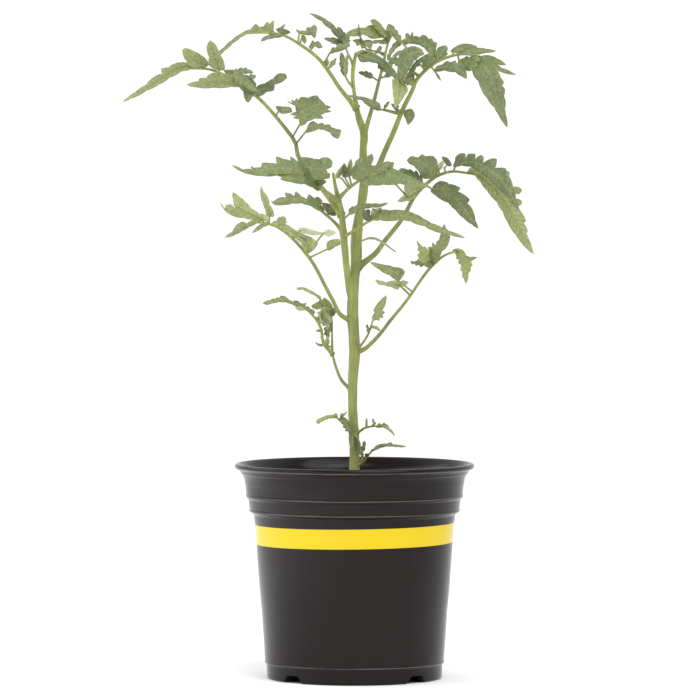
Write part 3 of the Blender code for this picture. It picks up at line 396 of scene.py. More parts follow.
              (74, 302.2), (70, 307.3), (66.8, 312.5), (65.5, 316.3), (63.4, 318.3), (62.3, 321.5))),
            ((52, -19, 331), (65, -14, 334.4), 55, 1, 0.28,
             ((50.5, 331.8), (53, 334.2), (56.5, 335.8), (59.7, 336), (65.1, 334.4), (60.4, 333),
              (56.5, 331.2))),
            ((58, -20, 331), (74.9, -14, 332.1), 50, 1.2, 0.3,
             ((57, 331), (60, 333.3), (66.2, 333.8), (69.5, 333.3), (75, 332.1), (69.4, 331.2),
              (63.6, 330.3), (58, 330.1))),
            ((42, -17.5, 322), (59.4, -28, 317.8), 58, 2.6, 0.12,
             ((41.8, 321.3), (43.7, 324.3), (46.5, 325), (48.8, 327), (51, 326.2), (53.3, 327.2),
              (54.2, 325.3), (56.2, 325), (58.7, 322.5), (59.5, 317.5), (56.5, 318.8), (53.3, 321),
              (47.5, 321.9))),
            ((25, -19, 315.5), (36.3, -29, 331.4), 86, 1.2, 0.3,
             ((24.5, 314.5), (23.5, 316.6), (22.7, 319.5), (22.8, 323), (23.1, 326.6), (23.4, 329.3),
              (23.7, 331.6), (25.2, 332.7), (27, 333.7), (28.7, 334.1), (30.5, 334.8), (33.1, 334.3),
              (35.5, 333), (36.3, 331.8), (36.9, 330.5), (34.7, 329.5), (32.7, 328), (31.3, 326.7),
              (30.5, 325.2), (29.4, 323.5), (28.4, 321.6), (26.8, 318.7), (25.5, 316.4))),
            ((25.5, -17, 315.8), (39.8, -23, 330.5), 86, 0.8, 0.04,
             ((25.5, 315.2), (27.1, 318.2), (28.7, 321.2), (29.9, 323.5), (31.5, 325.9), (33.7, 327.7),
              (35.8, 329.1), (37.9, 330.4), (39.8, 330.6), (38.6, 328.8), (37.2, 328.3), (36.6, 326.5),
              (35, 326.1), (34.4, 324.2), (32.6, 323.7), (31.9, 321.7), (30.2, 321.1), (29.2, 318.9),
              (27.5, 317.8), (26.8, 316.1))),
            ((26.2, -16, 316.1), (31.3, -19, 320.8), 80, 0.4, 0.5,
             ((26.2, 316.6), (29.4, 319.8), (31.3, 321.1), (31.7, 318.2), (31, 314.7), (29.2, 316.3),
              (27.6, 315.8))),
            ((24, -18.5, 315), (21.4, -25, 302.2), 92, 0.8, 0.85,
             ((20.2, 317.6), (20.3, 311.4), (20.9, 306.5), (21.3, 302), (24.4, 305.4), (26.4, 308.6),
              (28.2, 311.4), (27.6, 313.6), (24.6, 316))),
            ((27, -17.5, 318), (31.5, -22, 314.3), 85, 0.4, 0.7, (6, 3, 0.3)),
            ((40.5, -17.5, 326.7), (27, -11, 341), 70, 1.2, 0.42,
             ((40.5, 325.1), (43.2, 333.9), (43.6, 336.5), (41.6, 337.3), (40.8, 338.9), (39.2, 338.5),
              (37.9, 340.3), (36, 340.7), (34.4, 339.4), (32.6, 340.2), (31, 339.9), (30.8, 342.6),
              (29.6, 340), (28.1, 341.7), (27, 341.4), (26.9, 338.8), (24.6, 337.5), (26.2, 335.4),
              (28.9, 336.1), (31.5, 335.9), (34.2, 335.4), (36.8, 333.9), (39, 331.4), (39.3, 328.3))),
            ((25.2, -13, 336.7), (17.3, -11, 327.2), 84, 0.4, 0.35,
             ((24.6, 338.4), (22.5, 337.6), (21.3, 336.7), (20, 335.5), (19.6, 334.1), (18.3, 332.7),
              (18.2, 331.1), (17.2, 329.9), (17.3, 326.9), (18.8, 328.8), (19.6, 330.7), (20.9, 332),
              (21.6, 333.3), (23.1, 334.3), (24.8, 335.5))),
            ((23.6, -14, 327.2), (17.8, -12, 326.2), 70, 0.2, 0.75,
             ((17.8, 326.2), (19.9, 327.9), (22.5, 328.6), (23.6, 327.2), (21.5, 326.1), (19.9, 324.8))),
            ((20.9, -14, 328.8), (25.1, -12, 332.5), 70, 0.2, 0.4,
             ((19.9, 329.3), (23.1, 332.2), (25.1, 332.5), (23.6, 330.6), (21.5, 328.8))),
            ((27.5, -17, 324), (17.2, -13, 328), 40, 1, 0.1, (6, 4, 0.3)),
            ((24.5, -15, 337.3), (17.6, -12, 345.4), 70, 0.8, 0.38,
             ((24.6, 337.3), (22.5, 337.3), (19.7, 340.9), (16.7, 343.4), (17.9, 346.6), (20.6, 345.4),
              (21.6, 343.4), (22.8, 343), (23.2, 340.8), (24.4, 340.6))),
            ((43.5, -18, 328), (48.5, -12, 335), 65, 0.5, 0.25, (8, 3, 0.35)),
            ((36, -17, 324), (43, -22, 328.5), 60, 0.5, 0.15, (7, 3, 0.4)),
            ((26, -9.3, 300), (28.6, -14, 293.6), 84, 0.3, 0.3,
             ((25.9, 298.6), (26.6, 300.8), (30.2, 301.8), (32, 298.6), (31, 296), (28.3, 293.1),
              (27.1, 296))),
            ((13, -12, 301.6), (-3.7, -16, 308.6), 45, 0.8, 0.08,
             ((13.8, 300.7), (13.4, 304.3), (10.8, 305.9), (8.4, 306.7), (1.9, 308.2), (-3.7, 308.7),
              (3.9, 306.2), (8.4, 302.4), (11.6, 300.8))),
            ((15.6, -12, 301.5), (18.6, -13, 305.6), 60, 0.3, 0.25, (3, 2, 0.3)),
            ((41.6, -17, 325.3), (45.8, -13, 334.1), 75, 0.6, 0.28,
             ((36.8, 325.6), (39, 329.3), (40.5, 329.9), (41.1, 331.7), (43.2, 332.2), (44.5, 334.1),
              (45.8, 334.8), (48.2, 333.8), (48.8, 331.4), (46.7, 330.4), (45.8, 329.1), (44, 328.3),
              (42.7, 326.1), (39.5, 323.8))),
            ((55.4, -19, 326.1), (66, -24, 328), 60, 0.6, 0.55,
             ((54.3, 325.6), (55.9, 327.7), (58, 328.5), (59.1, 329.5), (61.2, 328.6), (63.9, 330.1),
              (66.7, 327.8), (64.9, 326.1), (64.9, 323.8), (61.7, 323.3), (61.2, 321.4), (58, 322.1),
              (55.9, 323.5))),
            ((43.2, -17, 320.5), (45.6, -19, 316.6), 70, 0.1, 0.3,
             ((42.7, 320.8), (44.1, 320), (45.8, 316.4), (43.9, 318))),
            ((23.1, -11, 299.1), (19.7, -13, 304.1), 60, 0.2, 0.1,
             ((19.3, 304.4), (21.5, 303.8), (23.8, 303.2), (22.7, 301.8), (25, 300.1), (22.5, 299.9),
              (20.7, 302))),
        ),
    },
    "right_shoot": {
        "route": ((0.8, 0, 173.5), (2.9, -2, 175.9), (5.3, -5, 179.1), (7.5, -7, 183), (8.7, -9, 186.5),
                  (9.6, -10, 189.4)),
        "half": (0.75, 0.5),
        "blades": (
            ((9.8, -10, 189.9), (16.8, -14, 202.8), 82, 0.5, 0.55,
             ((10.1, 189.6), (9, 190.7), (9.9, 192.7), (10.7, 194), (9.9, 194.9), (11.7, 197.9),
              (13.8, 200.5), (16.9, 203), (16.5, 198.6), (15.5, 196.3), (14.6, 195.1), (16.1, 194.1),
              (14.9, 192.8), (15.2, 191), (13.2, 191.2), (13.2, 189.4), (11.7, 190))),
            ((8.9, -9, 186.2), (13.5, -13, 184.4), 50, 0.4, 0.4,
             ((8.9, 186.8), (10.6, 186.8), (12.5, 186.3), (13.7, 184.2), (12.6, 184), (11.7, 184.9),
              (10.1, 185.4), (8.7, 185.5))),
            ((8, -8, 183.8), (6.9, -11, 187.7), 75, 0.2, 0.25,
             ((7.7, 182.7), (6.3, 184.1), (6.6, 185.4), (5.9, 186.5), (6.9, 187.9), (7.4, 186.2),
              (8.2, 184.8))),
        ),
    },
    "left_shoot": {
        "route": ((-1, 0, 152), (-6.6, 3, 157.6), (-9.3, 6, 163.4), (-11.2, 8, 169.8), (-11.8, 10, 175.6),
                  (-11.9, 12, 183), (-11.9, 13, 188.3)),
        "half": (0.95, 0.5),
        "blades": (
            ((-12.5, 12.5, 195.8), (-22.5, 6, 197.3), 84, 0.8, 0.75,
             ((-11.4, 195.2), (-12.2, 198.4), (-14.3, 200.8), (-16.2, 201.8), (-17.2, 200.5),
              (-18.3, 201.2), (-19.1, 199.5), (-20.9, 198.8), (-23.1, 197.2), (-21.6, 196), (-19.9, 195.4),
              (-17.8, 196), (-15.1, 195.4))),
            ((-12.7, 11, 195.2), (-14.7, 5, 185.2), 84, 0.8, 1.3,
             ((-17.5, 196.3), (-15.1, 197), (-12.5, 195.5), (-11.4, 192.6), (-12.2, 190.8), (-11.8, 189.4),
              (-13.3, 188), (-13.2, 186.5), (-14.6, 184.8), (-15.3, 187), (-16.8, 186.5), (-17.3, 188.4),
              (-18.8, 188.6), (-18.5, 190.5), (-20.1, 191.2), (-18.9, 192.6), (-20, 194), (-18.3, 194.2))),
            ((-17.2, 8, 195.2), (-13, 3, 187.8), 76, 0.4, 0.1,
             ((-19, 194.4), (-17.4, 194.2), (-16, 192.8), (-14.8, 191), (-13.7, 188.9), (-12.8, 187.1),
              (-14.9, 188.3), (-16.4, 190.2), (-18.1, 191.7))),
            ((-12.2, 12, 192.6), (-9.5, 8, 196.8), 75, 0.4, 0.35,
             ((-12.5, 193.1), (-11.6, 196), (-10.3, 196.9), (-9.1, 197.5), (-10, 195.5), (-8.7, 195.2),
              (-10.1, 193.4), (-11.2, 191.8))),
            ((-12.5, 12, 186.8), (-14.6, 9, 180.7), 80, 0.4, 0.5,
             ((-11.9, 187), (-12.3, 184.1), (-13.3, 183), (-13.1, 181.2), (-14.7, 179.6), (-15.1, 181.8),
              (-16.4, 182.1), (-15.6, 183.9), (-16.5, 185.4), (-14.8, 186.5))),
            ((-14.6, 9, 176.1), (-14.4, 8, 181.7), 80, 0.3, 1.2,
             ((-14.5, 175.6), (-13.2, 178.3), (-13.7, 180.1), (-14, 181.9), (-14.8, 180.2), (-16, 178.7),
              (-15.3, 177.4))),
            ((-17.2, 11, 188.3), (-21.3, 7, 191.8), 60, 0.3, 0.1,
             ((-17, 187.8), (-19.8, 188.7), (-21.3, 191.9), (-19.1, 190.8), (-17.2, 189.6))),
            ((-18, 7, 200.8), (-30.5, 2, 206.9), 40, 0.6, 1.2,
             ((-18.1, 200.6), (-20.9, 202.7), (-24.1, 204.4), (-27.3, 205.9), (-30.5, 206.1),
              (-30.8, 206.9), (-27.3, 207.3), (-23.9, 205.8), (-20.7, 204.1), (-17.8, 202.1))),
        ),
    },
    "left_shoot_long": {
        "route": ((-11.4, 8.5, 171.4), (-13.5, 8, 174), (-15.9, 7, 176.7), (-17.2, 6, 180.4),
                  (-17.5, 5, 184.6), (-19.6, 4, 188.9), (-22.8, 3, 193.1), (-26.2, 1.5, 195.8),
                  (-30.2, 0, 197.6)),
        "half": (1.05, 0.5),
        "blades": (
            ((-29.7, 0, 197.6), (-48.5, -7, 198.8), 62, 1.2, 0.62,
             ((-29.2, 198.3), (-32.1, 199.4), (-34.5, 200.5), (-35.8, 201.7), (-37.4, 202.7),
              (-39.2, 202.7), (-40, 201.7), (-41.1, 201.9), (-42.1, 201.1), (-43.5, 201.3), (-44.8, 200.3),
              (-46.4, 200.2), (-48.7, 198.8), (-46.6, 197.9), (-43.7, 198.7), (-40, 199.4), (-36.3, 199.3),
              (-33.1, 198.2), (-29.9, 196.7))),
            ((-22.8, 3, 193.1), (-30.7, 4, 199.8), 60, 0.6, 0.35,
             ((-28.6, 198.8), (-30.2, 200.2), (-32.3, 200.2), (-31.5, 198.7), (-29.9, 197.3),
              (-26.8, 195.8), (-24.1, 194.2), (-22.3, 192), (-20.9, 194), (-21.8, 195.5), (-23.3, 195.8),
              (-24.1, 197), (-25.7, 197), (-26.4, 198.2))),
            ((-26, 1, 195.5), (-31.4, -3, 196.6), 60, 0.3, 1.3,
             ((-27.8, 196.9), (-29.5, 197.1), (-31.5, 196.7), (-30.7, 195.5), (-29.4, 194.8), (-27.3, 195),
              (-25.4, 195.2))),
            ((-27, 2, 197.3), (-25.5, 0, 198.9), 60, 0.1, 0,
             ((-28, 197.6), (-27, 198.6), (-25.4, 199.2), (-26, 197.9), (-27.3, 197.1))),
            ((-17, 6.5, 176.5), (-20.8, 3, 178.3), 60, 0.2, 0.2,
             ((-17, 175.8), (-19.3, 176.3), (-20.9, 178.3), (-19.2, 177.4), (-16.8, 177))),
            ((-17.5, 5, 184.4), (-20.3, 3, 184.3), 60, 0.1, 0.3,
             ((-17.4, 183.7), (-20.3, 183.8), (-20.2, 184.6), (-17.4, 184.9))),
        ),
    },
    "base_leaf_left": {
        "route": ((0, 0, 128), (-4, -3, 133), (-7.7, -5, 136.7), (-9.8, -6, 138.5)),
        "half": (0.8, 0.5),
        "blades": (
            ((-9.3, -6, 138.3), (-19.9, -13, 135.9), 55, 1.2, 0.9,
             ((-8.5, 137.1), (-9.6, 137.8), (-11.1, 137.9), (-13.5, 137.7), (-15.9, 136.8), (-17.8, 135.6),
              (-19.2, 134.8), (-20.4, 135.6), (-19.9, 137), (-17.8, 138.1), (-15.4, 139.1), (-13, 139.6),
              (-11.2, 139.7), (-9.6, 140.7), (-8.9, 138.8))),
            ((-7.2, -5.5, 137.5), (-0.6, -7, 130.3), 80, 0.8, 0.22,
             ((-8.1, 137.9), (-6.6, 138.5), (-4.6, 137.9), (-3, 136.4), (-1.9, 134.7), (-0.7, 132.7),
              (0.3, 130.3), (-1.5, 130.8), (-2.8, 128.8), (-3.4, 130.9), (-5.1, 131), (-4.6, 132.4),
              (-6.3, 133), (-5.8, 134.2), (-7.5, 135.6))),
            ((-7.2, -5.5, 137.7), (-4.1, -8, 141.2), 60, 0.2, 0.05,
             ((-7.9, 138.8), (-7, 140.5), (-5.6, 140.3), (-3.8, 141.5), (-5.1, 139.6), (-6.5, 138.3))),
            ((-2.4, -3, 128.4), (-1.4, -4.5, 121), 90, 0.3, 0.45,
             ((-2.9, 129.3), (-1, 127.7), (-0.5, 124.2), (-1.2, 120.5), (-2.4, 123.1), (-3, 126.3))),
            ((1.3, -3, 127.4), (2.2, -4.5, 118.6), 90, 0.3, 0.5,
             ((0.8, 128.4), (2.8, 125.6), (3.3, 122.1), (2.1, 118.1), (0.9, 121), (0.3, 125))),
        ),
    },
    "base_leaf_right": {
        "route": ((0, 0, 128.5), (4.8, -3, 132.4), (9, -5, 133.5), (13, -7, 133.8)),
        "half": (0.7, 0.45),
        "blades": (
            ((12.5, -6.8, 133.8), (21.3, -13, 128.6), 60, 1, 0.4,
             ((11.4, 132.9), (12.1, 134.4), (13.1, 135.4), (14.2, 134.4), (15.6, 135.6), (16.7, 134.6),
              (17.5, 134.6), (18.4, 132.7), (20.2, 131.1), (21.5, 128.3), (19.3, 130.3), (17.8, 131.4),
              (16.4, 132.3), (15.1, 133), (13.5, 132.8))),
            ((6.3, -4, 133), (6.4, -5, 137.8), 80, 0.1, 0.4,
             ((5.9, 132.7), (5.9, 136.4), (6.1, 137.9), (6.7, 137.8), (6.6, 132.7))),
            ((9.9, -5, 133.5), (10, -6, 137.5), 80, 0.1, 0.4,
             ((9.6, 133.2), (9.2, 134.5), (10.1, 135), (9.2, 136.1), (9.6, 137.7), (10.4, 137.5),
              (10.4, 136.2), (11.5, 135.5), (10.7, 134.3), (10.5, 133.2))),
        ),
    },
    "base_leaf_low": {
        "route": ((0, 0, 112.5), (3.7, -2, 113.6), (6.4, -3, 117.1), (9.3, -4, 120.5), (12.7, -6, 122.7),
                  (17.8, -8, 123.5)),
        "half": (0.7, 0.4),
        "blades": (
            ((13, -6, 122.8), (27.4, -11, 122.7), 45, 0.8, 0.12,
             ((8.7, 120), (8.9, 121.4), (10.1, 121.7), (10.9, 122.8), (12.7, 123.9), (15.1, 124.3),
              (17.2, 124.3), (19.3, 125.1), (20.4, 124), (23.1, 123.7), (27.6, 122.7), (23.1, 122.6),
              (19.9, 122.9), (16.7, 122.9), (14, 122.2), (11.4, 121))),
            ((6.3, -3, 117), (6.3, -5, 119.2), 60, 0.1, 0.35,
             ((6, 116.9), (5.2, 118.8), (6.3, 119.3), (7.5, 119.1), (7.2, 117.6))),
            ((3.4, -2, 113.6), (4.5, -4, 119.4), 80, 0.2, 0.6,
             ((2.7, 112.5), (3.2, 115.7), (3.7, 118.6), (4.7, 119.7), (4.7, 117.3), (4.3, 114.7))),
        ),
    },
    "base_leaf_small": {
        "route": ((0, 0, 118), (2.6, 2.5, 119.5), (4.1, 4, 120.8)),
        "half": (0.6, 0.4),
        "blades": (
            ((4, 4, 120.5), (5.4, 3, 125.7), 75, 0.2, 0.22,
             ((2.9, 118.2), (3.4, 120.5), (3.2, 122.4), (4.3, 123.3), (4.3, 124.8), (5.4, 126), (6, 124.2),
              (5.6, 122.8), (5.7, 121.2), (4.5, 120.1), (3.9, 118.4))),
        ),
    },
    "tip_leaf_left": {
        "route": ((-0.5, 0, 324.5), (-3.5, 2.5, 331), (-5.6, 3.5, 336.2)),
        "half": (0.7, 0.5),
        "blades": (
            ((-5.5, 3.5, 336), (-23.8, 6, 352), 50, 4.5, 0.2, (3.6, 3, 0.25)),
            ((-5.6, 3, 336), (-9, -2, 345), 75, 0.5, 0.15, (8, 3, 0.35)),
            ((-5, 3, 334.5), (-3.2, -2.5, 341.5), 65, 0.3, 0.12, (7, 3, 0.35)),
            ((-5.6, 3.2, 335.8), (-16.2, -1, 338.8), 50, 0.5, 0.2, (5, 3, 0.3)),
        ),
    },
    "tip_leaf_upright": {
        "route": ((-1, 0, 313.5), (-3.3, -2.5, 316), (-5, -4, 319)),
        "half": (0.6, 0.5),
        "blades": (
            ((-4.8, -3.8, 318.6), (-3.5, -8, 331), 75, 0.4, 0.5, (6, 3, 0.25)),
            ((-4.9, -3.6, 318.4), (-7, -2.5, 331.8), 60, 0.4, 0.2, (4.5, 3, 0.3)),
        ),
    },
    "tip_leaf_right": {
        "route": ((1, 0, 330), (4, 1.5, 332.2), (8.2, 2.5, 331.6), (13.5, 3, 328.5), (20, 3.5, 324)),
        "half": (0.7, 0.5),
        "blades": (
            ((3, 1.5, 330), (25, 4, 315.5), 55, 4.4, 0.16,
             ((1.9, 328.5), (1.9, 332.2), (5.8, 332), (8.6, 331.6), (10.9, 330.4), (14.2, 328.4),
              (16.3, 327.2), (20.1, 323.3), (22.7, 319.4), (25.2, 315.2), (20.4, 318.4), (16.5, 322.6),
              (11.6, 325.8), (7.7, 326.6), (3.2, 326.4))),
            ((13, 3, 327), (19.5, -2, 319.5), 65, 1, 0.12, (6, 3, 0.3)),
        ),
    },
    "top_leaf": {
        "route": ((5, 0, 287), (7.2, 4, 295), (9.4, 6.5, 302.5), (11.4, 8.5, 310), (13, 10, 316.6),
                  (15, 14, 324.5), (16.7, 18, 332.5), (17.8, 20, 336.7)),
        "half": (1.3, 0.55),
        "blades": (
            ((15, 19, 339.8), (-4.8, 14, 340.8), 75, 1.6, 0.72,
             ((15.8, 339.6), (12, 343), (10.3, 345.8), (7.7, 345.8), (5.6, 344.4), (3.9, 344.5),
              (-1.3, 343.5), (-5, 340.8), (-2.5, 340), (2.6, 340.2), (4.6, 341), (6.4, 340.2),
              (9, 338.6), (12.2, 338.9))),
            ((19.4, 19.6, 339.6), (9, 15, 348.4), 82, 0.8, 0.6,
             ((20.9, 339.8), (14.8, 340.2), (12.6, 342.2), (10.7, 344.3), (8.4, 348.5), (10.6, 349),
              (13.7, 346.7), (14.8, 344.8), (16.3, 343.3))),
            ((17.4, 19.6, 336), (18.6, 17, 345), 80, 0.5, 0.4, (8, 3, 0.3)),
            ((6.5, 17, 333), (2.2, 12, 346.8), 50, -1.4, 0.0, (2.4, 2, 0.2)),
            ((10, 8, 318), (2, 4.5, 320.9), 50, 0.7, 0.2, (5, 3, 0.35)),
            ((15.6, 9, 318.5), (21.5, 6, 320.6), 50, 0.3, 0.2, (4, 2, 0.35)),
            ((15.1, 19, 338.1), (0.8, 15, 337.3), 55, 0.6, 0.45,
             ((18, 336.5), (16.2, 337.5), (12.5, 338), (9.3, 337.5), (7.2, 338.1), (5, 337.7),
              (1.9, 338.5), (-1.1, 337.8), (0.5, 336.5), (1.3, 334.8), (2.9, 335.6), (4, 333.3),
              (6.4, 334.6), (8.7, 333), (9.6, 336), (12.5, 336.4), (15.6, 335.7))),
            ((15.1, 18, 329.9), (14, 15, 334.9), 60, 0.2, 0.2,
             ((15.4, 329.3), (12.8, 331.1), (10.3, 330.6), (11.8, 333), (13.5, 335.1), (14.6, 333.9),
              (13.5, 332), (16, 330.9))),
        ),
    },
}


# Sizes and colours that a user would change

class PotSettings(bpy.types.PropertyGroup):
    """The moulded pot and its printed band."""

    turns: IntProperty(
        name="Turn steps", description="Sides of each ring of the pot", default=192, min=48, max=256)
    band_low: FloatProperty(
        name="Band foot", description="Height of the band's lower edge",
        default=round(0.631 * POT_HIGH.z, 4), unit="LENGTH")
    band_high: FloatProperty(
        name="Band top", description="Height of the band's upper edge",
        default=round(0.722 * POT_HIGH.z, 4), unit="LENGTH")
    band_tilt: FloatProperty(
        name="Band tilt", description="Rise of the print over the pot's width", default=0.012)
    plastic: FloatVectorProperty(
        name="Plastic", description="Colour of the plastic", subtype="COLOR",
        default=(0.0085, 0.0062, 0.0058))
    band: FloatVectorProperty(
        name="Band colour", description="Colour of the printed band", subtype="COLOR",
        default=(0.72, 0.53, 0.012))


class MixSettings(bpy.types.PropertyGroup):
    """The loose top of the potting mix."""

    crumb_density: FloatProperty(
        name="Crumbs", description="Crumbs on a square metre", default=330000.0)
    crumb_size: FloatProperty(
        name="Crumb size", description="Radius of a large crumb", default=1.7 * MM, unit="LENGTH")
    grain_density: FloatProperty(
        name="White grains", description="White grains on a square metre", default=14000.0)
    grain_size: FloatProperty(
        name="Grain size", description="Radius of a large white grain", default=1.5 * MM, unit="LENGTH")
    chip_density: FloatProperty(
        name="Bark chips", description="Bark chips on a square metre", default=16000.0)
    chip_size: FloatProperty(
        name="Chip size", description="Width of a bark chip", default=2.2 * MM, unit="LENGTH")
    seed: IntProperty(name="Seed", description="Seed of the scatter", default=7)
    soil: FloatVectorProperty(
        name="Soil", description="Colour of the moist mix", subtype="COLOR", default=(0.045, 0.028, 0.018))


class StemSettings(bpy.types.PropertyGroup):
    """The forked stem and the hairs on all green stalks."""

    sides: IntProperty(name="Sides", description="Sides of each stalk", default=12, min=6, max=32)
    voxel: FloatProperty(
        name="Detail", description="Grain of the stem's surface", default=0.42 * MM, unit="LENGTH")
    hair_length: FloatProperty(
        name="Hair length", description="Length of a long hair", default=0.95 * MM, unit="LENGTH")
    hair_density: FloatProperty(
        name="Hairs", description="Hairs on a square metre", default=420000.0)
    green: FloatVectorProperty(
        name="Green", description="Colour of the stem's skin", subtype="COLOR",
        default=(0.24, 0.262, 0.085))
    # Colour of the stem's dark patches, which partly paint shade on it
    dark_patch_shade: FloatVectorProperty(
        name="Shaded green", description="Colour of the stem's darker streaks", subtype="COLOR",
        default=(0.13, 0.155, 0.06))


class LeafSettings(bpy.types.PropertyGroup):
    """The toothed blades."""

    thickness: FloatProperty(
        name="Thickness", description="Thickness of a blade", default=0.28 * MM, unit="LENGTH")
    grain: FloatProperty(
        name="Mesh step", description="Distance between a blade's points", default=0.75 * MM, unit="LENGTH")
    vein_step: FloatProperty(
        name="Vein step", description="Distance between side veins", default=3.1 * MM, unit="LENGTH")
    pleat: FloatProperty(
        name="Pleat", description="How far a blade bulges between its veins", default=0.55 * MM,
        unit="LENGTH")
    upper_dark: FloatVectorProperty(
        name="Upper face, dark", description="Colour of an old blade's upper face", subtype="COLOR",
        default=(0.108, 0.131, 0.070))
    upper_light: FloatVectorProperty(
        name="Upper face, light", description="Colour of a young blade's upper face", subtype="COLOR",
        default=(0.32, 0.372, 0.118))
    # Undersides are lighter and yellower partly by nature and partly as painted light shining through the
    # blade from above
    under_dark: FloatVectorProperty(
        name="Underside, dark", description="Colour of an old blade's underside", subtype="COLOR",
        default=(0.182, 0.208, 0.120))
    under_light: FloatVectorProperty(
        name="Underside, light", description="Colour of a young blade's underside", subtype="COLOR",
        default=(0.415, 0.468, 0.175))


class StageSettings(bpy.types.PropertyGroup):
    """Floor, light and camera."""

    floor_radius: FloatProperty(
        name="Floor radius", description="Radius of the pale floor", default=9.0, unit="LENGTH")
    aim_height: FloatProperty(
        name="Aim height", description="Height that the camera is aimed at", default=0.174, unit="LENGTH")
    lens: FloatProperty(name="Lens", description="Focal length in millimetres", default=291.5)
    wall: FloatProperty(
        name="Wall", description="Brightness of the white wall behind the plant", default=1.06)
    room: FloatProperty(name="Room", description="Brightness of the room in front", default=0.5)
    key: FloatProperty(name="Key light", description="Strength of the soft light from above", default=1.62)


class TomatoSettings(bpy.types.PropertyGroup):
    """All settings of the plant."""

    pot: PointerProperty(type=PotSettings)
    mix: PointerProperty(type=MixSettings)
    stem: PointerProperty(type=StemSettings)
    leaf: PointerProperty(type=LeafSettings)
    stage: PointerProperty(type=StageSettings)


# Node trees

class Value:
    """An output socket; arithmetic on it adds Math nodes to its graph."""

    def __init__(self, graph, socket):
        self.graph = graph
        self.socket = socket

    def maths(self, operation, *values, clamp=False):
        settings = {"operation": operation, "use_clamp": clamp}
        return self.graph.add("ShaderNodeMath", settings, dict(enumerate(values)))

    def __add__(self, other):
        return self.maths("ADD", self, other)

    def __sub__(self, other):
        return self.maths("SUBTRACT", self, other)

    def __mul__(self, other):
        return self.maths("MULTIPLY", self, other)

    def __truediv__(self, other):
        return self.maths("DIVIDE", self, other)

    def __pow__(self, other):
        return self.maths("POWER", self, other)

    def __rsub__(self, other):
        return self.maths("SUBTRACT", other, self)

    def __abs__(self):
        return self.maths("ABSOLUTE", self)

    __radd__ = __add__
    __rmul__ = __mul__

    def clamped(self):
        return self.maths("ADD", self, 0.0, clamp=True)

    def zigzag(self, step):
        """Distance to the nearest multiple of two steps, from 0 to the step."""
        return self.maths("PINGPONG", self, step)

    def ramp(self, low, high):
        """0 below low and 1 above high, smooth between them."""
        settings = {"interpolation_type": "SMOOTHSTEP"}
        inputs = {"Value": self, "From Min": low, "From Max": high}
        return self.graph.add("ShaderNodeMapRange", settings, inputs)


class Graph:
    """A node tree that is filled by one method."""

    def __init__(self, tree):
        self.tree = tree

    def add(self, kind, settings=None, inputs=None, output=0):
        """Adds a node, sets it, fills its inputs with values or links, and returns one output."""
        node = self.tree.nodes.new(kind)
        for name, value in (settings or {}).items():
            setattr(node, name, value)
        for key, value in (inputs or {}).items():
            socket = node.inputs[key]
            if isinstance(value, Value):
                self.tree.links.new(value.socket, socket)
            else:
                socket.default_value = value
        return Value(self, node.outputs[output])


class Finish(Graph):
    """A material around one Principled shader, whose plain values are set on its own sockets."""

    def __init__(self, name, **plain):
        self.material = bpy.data.materials.new(name)
        self.material.use_nodes = True
        super().__init__(self.material.node_tree)
        self.shader = self.tree.nodes["Principled BSDF"]
        for key, value in plain.items():
            self.shader.inputs[key.replace("_", " ")].default_value = value

    def feed(self, key, value):
        """Lets a varying value drive one of the shader's sockets."""
        self.tree.links.new(value.socket, self.shader.inputs[key])

    def place(self, x=1.0, y=1.0, z=1.0):
        """Object coordinates, stretched."""
        where = self.add("ShaderNodeTexCoord", output="Object")
        return self.add("ShaderNodeMapping", inputs={"Vector": where, "Scale": (x, y, z)})

    def axis(self, vector, name):
        return self.add("ShaderNodeSeparateXYZ", inputs={"Vector": vector}, output=name)

    def attribute(self, name):
        return self.add("ShaderNodeAttribute", {"attribute_name": name}, output="Fac")

    def noise(self, vector, scale, detail=3.0, roughness=0.55):
        inputs = {"Vector": vector, "Scale": scale, "Detail": detail, "Roughness": roughness}
        return self.add("ShaderNodeTexNoise", inputs=inputs)

    def cells(self, vector, scale, feature="F1"):
        inputs = {"Vector": vector, "Scale": scale}
        return self.add("ShaderNodeTexVoronoi", {"feature": feature}, inputs, output="Distance")

    def mix(self, share, first, second):
        """A colour between two colours."""
        colours = [c if isinstance(c, Value) else (*c, 1.0) for c in (first, second)]
        inputs = {0: share, 6: colours[0], 7: colours[1]}
        return self.add("ShaderNodeMix", {"data_type": "RGBA"}, inputs, output=2)

    def bump(self, height, distance, strength=1.0):
        inputs = {"Height": height, "Distance": distance, "Strength": strength}
        self.feed("Normal", self.add("ShaderNodeBump", inputs=inputs))


